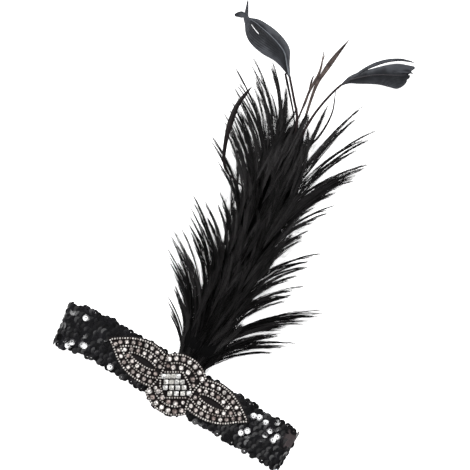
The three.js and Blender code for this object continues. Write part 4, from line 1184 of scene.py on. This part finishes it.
def side_lock(leaves, ahead, side, wide, high):
    """Hackles of one lock, which sweep out of the plume and part into points."""
    found = []
    count = 3 + round(HACKLES_PER_LOCK * wide)
    axis = plume_axis(leaves)
    start = leaves - LOCK_SET_BACK
    back = plume_axis(start)
    left, right, under, top = plume_at(start)
    main_tip = Vector((axis.x + side * PLUME_SPREAD, axis.y + ahead * PLUME_LENGTH, 0))
    main_tip += (main_tip - back).normalized() * TIP_OVERRUN
    back.x += QUILL_ASIDE * (right if side > 0 else -left)
    forward = (main_tip - back).normalized()
    across = Vector((-forward.y, forward.x, 0))
    spread_wide = LOCK_WIDTH * wide
    tip_height = LOCK_TIP["height"] + PLUME_THICKNESS * high * LOCK_TIP["rise"]
    for i in range(count):
        spread = 2 * i / (count - 1) - 1
        shorter = 0.0 if i == count // 2 else rng.uniform(*HACKLE_SHORTER)
        root = back + across * spread * spread_wide * QUILLS_APART
        root.y += rng.uniform(-1, 1) * QUILL_STRAY
        root.z = under + (top - under) * rng.uniform(*QUILL_HEIGHTS)
        tip = back + (main_tip - back) * (1 - shorter)
        tip += across * spread * spread_wide * rng.uniform(*TIP_PARTING)
        tip.z = tip_height * rng.uniform(LOCK_TIP["from"], LOCK_TIP["to"])
        bend = root + (tip - root) * LOCK_BEND[0]
        bend.y = root.y + (tip.y - root.y) * LOCK_BEND[1]
        bend.z = root.z + (tip.z - root.z) * LOCK_BEND_HEIGHT
        width = rng.uniform(*HACKLE_WIDTH) + HACKLE_WIDENING * wide
        paler = TIP_PALING * leaves**2
        found.append(hackle(root, bend, tip, width, BARBS_PER_HACKLE, paler))
    return found


def top_hackle(leaves, side, lane, out, over):
    """One hackle over the plume, from one lane to another further out, as shares of its half width."""
    reach = min(rng.uniform(*TOP_HACKLE_REACH), TOP_HACKLE_END - leaves)
    root, end = plume_axis(leaves), plume_axis(leaves + reach)
    *edges, under, top = plume_at(leaves)
    *end_edges, end_under, end_top = plume_at(leaves + reach)
    root.x += side * edges[side > 0] * lane
    root.z = under + (top - under) * (0.5 + over * TOP_HEIGHTS[0] * (1 - 0.5 * lane**2))
    tip = Vector((end.x + side * end_edges[side > 0] * out, end.y, 0))
    falling = 1 - 0.7 * min(1, out) ** 2
    tip.z = end_under + (end_top - end_under) * (0.5 + over * TOP_HEIGHTS[1] * falling)
    bend = root + (tip - root) * TOP_BEND[0]
    bend.y = root.y + (tip.y - root.y) * TOP_BEND[1]
    bend.z = (root.z + tip.z) / 2 + over * TOP_ARCH
    width = rng.uniform(*TOP_HACKLE_WIDTH) * (1 - TIP_NARROWING * max(0, leaves) ** 3)
    paler = TIP_PALING * max(0, leaves) ** 2
    return hackle(root, bend, tip, width, BARBS_PER_TOP_HACKLE, paler, points=4)


def down_patch(x, y, wide, long, barbs):
    """Short soft barbs standing out at a place on the plume's edge, away from its axis."""
    near = within((y * MM - PLUME_START) / PLUME_LENGTH)
    side = 1 if x * MM > plume_axis(near).x else -1
    _, _, under, top = plume_at(near)
    spots = rng.uniform(-1, 1, (barbs, 2)) * (wide, long) + (x, y)
    roots = np.concatenate([spots * MM, np.full((barbs, 1), (under + top) / 2)], axis=1)
    turn = math.pi / 2 - side * rng.uniform(*DOWN_TURN, barbs)
    far = rng.uniform(*DOWN_LENGTHS, barbs) * DOWN_BARB
    droop = rng.uniform(*DOWN_DROOP, barbs)
    step = np.stack([np.cos(turn), np.sin(turn), droop], axis=1) * far[:, None]
    curl = rng.normal(0, DOWN_CURL, (barbs, 3)) * far[:, None]
    t = np.linspace(0, 1, 4)[None, :, None]
    path = roots[:, None] + step[:, None] * t + curl[:, None] * t * (1 - t) * 4
    return path, rng.uniform(0.3, 1, barbs)


# Hackle barb: dyed black, fine and flat, so the mass is near black with fine slanting silky lights. Its
# black differs at random by hackle and by barb, and the rare palest hackles, painted greyer, are a
# painted highlight
hackle_black, tree, shader = new_material("dyed black rooster hackle")
tone = add_node(tree, "ShaderNodeAttribute", attribute_name="tone").outputs["Fac"]
black = add_node(tree, "ShaderNodeValToRGB", {"Fac": tone}, [(0, "#070707"), (1, "#343233")])
silk = add_node(tree, "ShaderNodeMapRange", {"Value": tone, "To Min": 0.03, "To Max": 0.3})
feed(shader, {"Base Color": black.outputs["Color"], "Roughness": 0.45})
feed(shader, {"Specular IOR Level": silk.outputs["Result"]})

# Down: the same black, matt, in soft strands that run with the plume
down_black, tree, shader = new_material("dyed black down")
surface = add_node(tree, "ShaderNodeTexCoord").outputs["Object"]
drawn_out = add_node(tree, "ShaderNodeMapping", {"Vector": surface, "Scale": (1.0, 0.12, 1.0)})
wisps = add_node(
    tree, "ShaderNodeTexNoise",
    {"Vector": drawn_out.outputs["Vector"], "Scale": 1 / (1.6 * MM), "Detail": 5.0},
).outputs["Fac"]
black = add_node(tree, "ShaderNodeValToRGB", {"Fac": wisps}, [(0, "#060606"), (1, "#0c0c0d")])
relief = add_node(tree, "ShaderNodeBump", {"Height": wisps, "Distance": 1.0 * MM, "Strength": 1.0})
feed(shader, {"Base Color": black.outputs["Color"], "Normal": relief.outputs["Normal"]})
feed(shader, {"Roughness": 0.9, "Specular IOR Level": 0.05})

CORE_STEPS = (28, 60)
core = shaped_grid(*CORE_STEPS, on_core)
bmesh.ops.remove_doubles(core, verts=core.verts, dist=JOINED)
bmesh.ops.holes_fill(core, edges=[edge for edge in core.edges if edge.is_boundary])
bmesh.ops.recalc_face_normals(core, faces=core.faces)
add_piece("plume_down", core, down_black, "hackle")

left_barbs, right_barbs = [], []
for lock in SIDE_LOCKS:
    values = dict(zip(LOCK_COLUMNS, lock))
    (left_barbs if values["side"] < 0 else right_barbs).extend(side_lock(**values))
add_barbs("hackles_left", left_barbs, hackle_black, replaced=["hackle_plume"])
add_barbs("hackles_right", right_barbs, hackle_black)

for layer in HACKLE_LAYERS:
    found = []
    for i in range(layer["hackles"]):
        leaves = layer["first"] + layer["on"] * (i / (layer["hackles"] - 1)) ** layer["power"]
        fuller = 0.0 if i % 2 else layer["fuller"]
        lane = rng.uniform(*layer["lanes"]) + fuller
        out = min(layer["most"] + fuller, lane + rng.uniform(*layer["out"]))
        found.append(top_hackle(leaves, 1 if i % 2 else -1, lane, out, layer["over"]))
    each = len(found) // len(layer["pieces"])
    for i, name in enumerate(layer["pieces"]):
        add_barbs(name, found[i * each : (i + 1) * each], hackle_black)
soft_down = [down_patch(**dict(zip(DOWN_COLUMNS, patch))) for patch in DOWN_PATCHES]
add_barbs("soft_down", soft_down, hackle_black, width=DOWN_BARB_WIDTH)

# Trimmed feathers
# Two feathers stripped to bare quills and trimmed to leaves, dyed slate, and narrow quill strips,
# glued in at the plume's tip. Each leaf is a thin cambered vane with a rib, and its barbs have parted
# at the tip.
STEM_WIDTH = 2.6 * MM
STRIP_HEIGHT = 4.6 * MM  # unit of the heights in the paths
LEAF_CAMBER = 3 * MM
LEAF_TIP_HEIGHT = 2.4 * MM
VANE_THICKNESS = 0.7 * MM
VANE_STEPS = (54, 48)
STRIP_THICKNESS = 0.5 * MM
SLIT = {"along": (0.72, 0.89), "across": (0.315, 0.33)}  # where the left vane's barbs have parted

# Paths from the plume's tip: ahead and sideways as shares of the plume's length, height in strips
PATHS = {
    "left_stem": [(-0.050, 0, 2.2), (0.020, -0.034, 2.4), (0.085, -0.090, 2.3), (0.152, -0.150, 1.7)],
    "right_stem": [(-0.050, 0.020, 2.3), (0.000, 0.016, 2.5), (0.080, 0.018, 2.4), (0.165, 0.032, 2.2),
                   (0.229, 0.050, 1.8)],
    "second_stem": [(-0.02, -0.02, 1.9), (0.040, -0.066, 2.0), (0.148, -0.166, 1.6)],
    "spear": [(-0.050, 0.008, 1.0), (0.000, 0.002, 1.1), (0.160, -0.034, 1.3), (0.242, -0.035, 1.1),
              (0.320, -0.028, 0.8), (0.402, -0.015, 0.6)],
    "split": [(-0.050, -0.022, 1.0), (0.030, -0.030, 1.1), (0.130, -0.046, 1.2), (0.225, -0.052, 0.9),
              (0.310, -0.082, 0.6)],
    "thin": [(-0.02, -0.03, 0.9), (0.090, -0.036, 1.0), (0.175, -0.060, 0.8), (0.205, -0.064, 0.6)],
    "curl": [(-0.325, -0.080, 4.2), (-0.310, -0.155, 4.2), (-0.275, -0.195, 4.2), (-0.200, -0.230, 4.3),
             (-0.125, -0.252, 4.3), (-0.060, -0.262, 4.2), (0.000, -0.256, 3.9), (0.038, -0.250, 3.6)],
}
LEAVES = {
    "left": {
        "length": 68.5 * MM,
        "width": 27 * MM,
        "direction": math.radians(156.8),
        "along": [0.00, 0.14, 0.30, 0.47, 0.62, 0.76, 0.90, 1.00],
        "upper": [0.03, 0.26, 0.56, 0.62, 0.57, 0.46, 0.29, 0.05],
        "lower": [-0.03, -0.03, -0.10, -0.29, -0.39, -0.40, -0.26, -0.05],
        "rib": [0.0, 0.15, 0.34, 0.35, 0.30, 0.22, 0.13, 0.0],
        "across": [0.0, 0.25, 0.5, 0.75, 1.0],
        "end": [0.99, 1.0, 1.0, 1.0, 0.99],
    },
    "right": {
        "length": 68 * MM,
        "width": 26 * MM,
        "direction": math.radians(36.2),
        "along": [0.00, 0.12, 0.25, 0.40, 0.55, 0.70, 0.83, 1.00],
        "upper": [0.03, 0.28, 0.41, 0.48, 0.55, 0.60, 0.60, 0.50],
        "lower": [-0.03, 0.04, 0.00, -0.04, -0.10, -0.21, -0.29, -0.26],
        "rib": [0.0, 0.16, 0.22, 0.26, 0.26, 0.22, 0.18, 0.18],
        "across": [0.0, 0.10, 0.20, 0.30, 0.34, 0.45, 0.50, 0.60, 0.65, 0.80, 0.92, 1.0],
        "end": [0.83, 0.88, 0.91, 0.92, 0.95, 0.97, 0.94, 1.00, 0.98, 1.04, 1.04, 0.98],
    },
}


def smooth_line(steps, count):
    """Points along a smooth line through a few steps."""
    at, share = np.linspace(0, 1, len(steps)), np.linspace(0, 1, count)
    return np.stack([smooth(at, steps[:, k], share) for k in range(3)], axis=-1)


def tip_path(name, count):
    """Points along a named path from the plume's tip."""
    side_first = smooth_line(np.array(PATHS[name]), count)[:, (1, 0, 2)]
    scaled = side_first * (PLUME_LENGTH, PLUME_LENGTH, STRIP_HEIGHT)
    return scaled + (*plume_axis(1).xy, 0)


def leaf_vane(name, stem_end, stem_ahead):
    """A leaf's vane as a thin cambered sheet, from its base on the quill to its tip."""
    leaf = LEAVES[name]
    ahead = Vector((math.cos(leaf["direction"]), math.sin(leaf["direction"]), 0))
    across = Vector((-ahead.y, ahead.x, 0))
    base = Vector(stem_end) - Vector(stem_ahead).normalized() * STEM_WIDTH
    sign = 1 if ahead.x > 0 else -1
    droop = base.z - LEAF_TIP_HEIGHT

    def place(u, v):
        upper, lower, rib = (float(smooth(leaf["along"], leaf[k], u)) for k in ("upper", "lower", "rib"))
        off = rib + (upper - rib) * (2 * v - 1) if v > 0.5 else lower + (rib - lower) * 2 * v
        rise = LEAF_CAMBER * math.sin(math.pi * u) * (1 - (2 * v - 1) ** 2) ** 0.8
        end = 1 + (float(np.interp(v, leaf["across"], leaf["end"])) - 1) * u**3
        spot = base + ahead * u * end * leaf["length"] + across * sign * off * leaf["width"]
        spot.z = base.z - droop * u + rise
        return spot

    return place


# Trimmed vane: dyed slate barbs zipped together, silky. Its colour is darkest along the rib and paler
# towards the rim, and the barbs lie almost lengthwise as fine lines.
slate_vane, tree, shader = new_material("dyed slate feather vane")
BARB_LINES = 9  # across half a vane; fewer than the real forty, so that they show
BARB_SLANT = 5
RIB_PLACE = 0.41  # where across the vane's map its darkest band is
on_vane = add_node(tree, "ShaderNodeUVMap", uv_map="UVMap")
split = add_node(tree, "ShaderNodeSeparateXYZ", {"Vector": on_vane.outputs["UV"]})
surface = add_node(tree, "ShaderNodeTexCoord").outputs["Object"]
clouds = add_node(tree, "ShaderNodeTexNoise", {"Vector": surface, "Scale": 90.0}).outputs["Fac"]
# Sums on the map, each named for its outcome; a name among the values is an earlier outcome
VANE_SUMS = [
    ("from_rib", "SUBTRACT", ("across", RIB_PLACE)),
    ("away", "ABSOLUTE", ("from_rib",)),
    ("slanted", "MULTIPLY_ADD", ("along", -BARB_SLANT * math.tau, 0.0)),
    ("phase", "MULTIPLY_ADD", ("away", 2 * BARB_LINES * math.tau, "slanted")),
    ("barb_lines", "SINE", ("phase",)),
    ("paler", "MULTIPLY_ADD", ("away", 1.15, "clouds")),
    ("shade", "MULTIPLY_ADD", ("barb_lines", 0.1, "paler")),
]
sums = {"along": split.outputs["X"], "across": split.outputs["Y"], "clouds": clouds}
for label, operation, values in VANE_SUMS:
    inputs = {i: sums.get(value, value) for i, value in enumerate(values)}
    sums[label] = add_node(tree, "ShaderNodeMath", inputs, operation=operation).outputs[0]
slate = add_node(
    tree, "ShaderNodeValToRGB", {"Fac": sums["shade"]},
    [(0.42, "#17181b"), (1.0, "#494b50"), (0.75, "#2a2c30")],
)
lines = {"Height": sums["barb_lines"], "Distance": 0.15 * MM, "Strength": 0.7}
relief = add_node(tree, "ShaderNodeBump", lines)
feed(shader, {"Base Color": slate.outputs["Color"], "Normal": relief.outputs["Normal"]})
feed(shader, {"Roughness": 0.45, "Specular IOR Level": 0.14})

# Bare quill: horn dyed dark brown on the stem, and paler where it is the vane's rib
RIB_TONE = {"left": 1.0, "right": 0.25}
bare_quill, tree, shader = new_material("bare dyed quill")
tone = add_node(tree, "ShaderNodeAttribute", attribute_name="tone").outputs["Fac"]
brown = add_node(tree, "ShaderNodeValToRGB", {"Fac": tone}, [(0, "#261c1d"), (1, "#6c7076")])
feed(shader, {"Base Color": brown.outputs["Color"], "Roughness": 0.5, "Specular IOR Level": 0.12})

# Dyed quill and biot: horn, smooth with a soft shine, under a worn brown-black dye or near black
dyed_quill = patterned(
    "dyed brown-black quill",
    "ShaderNodeTexNoise", {"Scale": 110.0},
    [(0.35, "#2a2221"), (0.65, "#665a55")],
    {"Roughness": 0.55, "Specular IOR Level": 0.15},
)
black_biot = patterned(
    "black-dyed quill biot",
    "ShaderNodeTexNoise", {"Scale": 110.0},
    [(0, "#080607"), (1, "#1c1516")],
    {"Roughness": 0.5, "Specular IOR Level": 0.12},
)

QUILL_STEPS = 24
QUILL_SIDES = 10
QUILL_TAPER = [(0, 1), (0.48, 0.85), (0.6, 0.45), (1, 0.2)]  # along, share of the width
RIB_END = 0.97
RIB_RISE = 0.2 * MM
for side in ("left", "right"):
    quill = tip_path(f"{side}_stem", QUILL_STEPS)
    on_vane = leaf_vane(side, quill[-1], quill[-1] - quill[-2])
    vane = shaped_grid(*VANE_STEPS, on_vane)
    if side == "left":
        uv_map = vane.loops.layers.uv["UVMap"]
        low, high = zip(SLIT["along"], SLIT["across"])
        parted = []
        for face in vane.faces:
            u, v = sum((loop[uv_map].uv for loop in face.loops), Vector((0, 0))) / len(face.loops)
            if low[0] < u < high[0] and low[1] < v < high[1]:
                parted.append(face)
        bmesh.ops.delete(vane, geom=parted, context="FACES")
    bmesh.ops.recalc_face_normals(vane, faces=vane.faces)
    thicken(vane, VANE_THICKNESS)
    add_piece(f"leaf_vane_{side}", vane, slate_vane, "leaf_feather", [f"leaf_feather_{side}"])
    rib = np.array([on_vane(u, 0.5) for u in np.linspace(0, RIB_END, QUILL_STEPS)])
    rib[:, 2] += RIB_RISE
    whole = np.concatenate([quill[:-1], rib])
    widths = STEM_WIDTH * np.interp(np.linspace(0, 1, len(whole)), *zip(*QUILL_TAPER))
    pale = RIB_TONE[side] * (np.arange(len(whole)) >= len(quill))
    mesh = strands(f"quill_{side}", whole[None], widths[None], pale, sides=QUILL_SIDES)
    add_piece(f"quill_{side}", mesh, bare_quill, "quill_strip")

# Strips: width at the widest, where that is along the path, and the shares of it at both ends.
# The last seven are barbs that have parted from a leaf or a strip, with their own paths in millimetres.
STRIP_STEPS = 60
STRIP_ACROSS = 6
STRIP_SWELL = 1.6
STRIP_TROUGH = 0.25
STRIP_COLUMNS = ("name", "wide", "widest", "root", "tip")
STRIPS = [
    ("spear", 5.0, 0.66, 0.30, 0.03),
    ("split", 2.8, 0.60, 0.40, 0.20),
    ("curl", 5.6, 0.55, 0.25, 0.06),
    ("thin", 1.9, 0.60, 0.50, 0.10),
    ("second_stem", 2.3, 0.90, 0.50, 0.80),
    ("left_spike", 4.4, 0.35, 0.15, 0.06),
    ("left_lobe", 6.2, 0.60, 0.45, 0.35),
    ("right_rim", 3.8, 0.40, 0.45, 0.18),
    ("long_barb", 2.1, 0.30, 0.80, 0.35),
    ("split_end", 0.9, 0.10, 0.90, 0.30),
    ("split_fork", 0.9, 0.10, 0.90, 0.30),
    ("right_notch", 1.6, 0.50, 0.40, 0.20),
]
PARTED_BARBS = {
    "left_spike": [(-115.0, 316, 3.4), (-120.5, 327, 3.0), (-127.5, 342, 2.4)],
    "left_lobe": [(-114.5, 324, 3.2), (-120.5, 326, 4.2), (-125.4, 325, 4.4), (-130, 321.5, 3.0)],
    "right_rim": [(-8.5, 320, 8.6), (-5.5, 329.5, 9.0), (-0.6, 340, 9.0), (6.2, 350, 8.2),
                  (14, 358.4, 7.0), (23, 364.9, 5.6), (31.4, 368.4, 4.2), (35.8, 369.6, 3.4)],
    "long_barb": [(-9, 247, 6.0), (-4.5, 268, 6.5), (-5.5, 290, 6.0), (-13, 309, 8.0)],
    "split_end": [(-36.5, 321, 4.0), (-39.0, 328, 3.6), (-42.0, 336.5, 3.0)],
    "split_fork": [(-36.8, 323, 4.0), (-38.4, 330, 3.6), (-39.4, 338, 3.0)],
    "right_notch": [(24, 352, 7.0), (34, 358, 5.5), (42, 361, 4.0)],
}
REPLACED = {"spear": "spear_feather", "split": "split_feather", "curl": "curl_feather"}
LEAF_STRIPS = ("left_spike", "left_lobe", "right_rim", "right_notch")
RIM_MAP_PLACE = 0.8  # where across the vane's map these barbs are, which were part of its rim


def strip_sheet(name, wide, widest, root, tip):
    """place(u, v) on a strip: narrow at its root, then swelling, then pointed, with a slight trough."""
    if name in PATHS:
        line = tip_path(name, STRIP_STEPS + 1)
    else:
        line = smooth_line(np.array(PARTED_BARBS[name]) * MM, STRIP_STEPS + 1)
    ahead = np.gradient(line, axis=0)

    def place(u, v):
        i = round(u * STRIP_STEPS)
        direction = Vector(ahead[i])
        across = Vector((-direction.y, direction.x, 0)).normalized()
        if u < widest:
            share = root + (1 - root) * (u / widest) ** STRIP_SWELL
        else:
            share = tip + (1 - tip) * (1 - ((u - widest) / (1 - widest)) ** STRIP_SWELL)
        half = wide * MM / 2 * share
        trough = STRIP_TROUGH * half * (1 - (2 * v - 1) ** 2)
        return Vector(line[i]) + across * (2 * v - 1) * half + Vector((0, 0, trough))

    return place


for row in STRIPS:
    strip = dict(zip(STRIP_COLUMNS, row))
    name = strip["name"]
    blade = shaped_grid(STRIP_STEPS, STRIP_ACROSS, strip_sheet(**strip))
    bmesh.ops.recalc_face_normals(blade, faces=blade.faces)
    thicken(blade, STRIP_THICKNESS)
    material = dyed_quill
    if name in LEAF_STRIPS:
        material = slate_vane
        on_rim = blade.loops.layers.uv["UVMap"]
        for loop in (loop for face in blade.faces for loop in face.loops):
            across = (loop[on_rim].uv.y - 0.5) * strip["wide"] * MM / LEAVES["left"]["width"]
            loop[on_rim].uv.y = RIM_MAP_PLACE + across
    elif name in ("curl", "long_barb", "second_stem"):
        material = black_biot
    replaced = [REPLACED[name]] if name in REPLACED else []
    add_piece(f"{name}_strip", blade, material, "quill_strip", replaced)
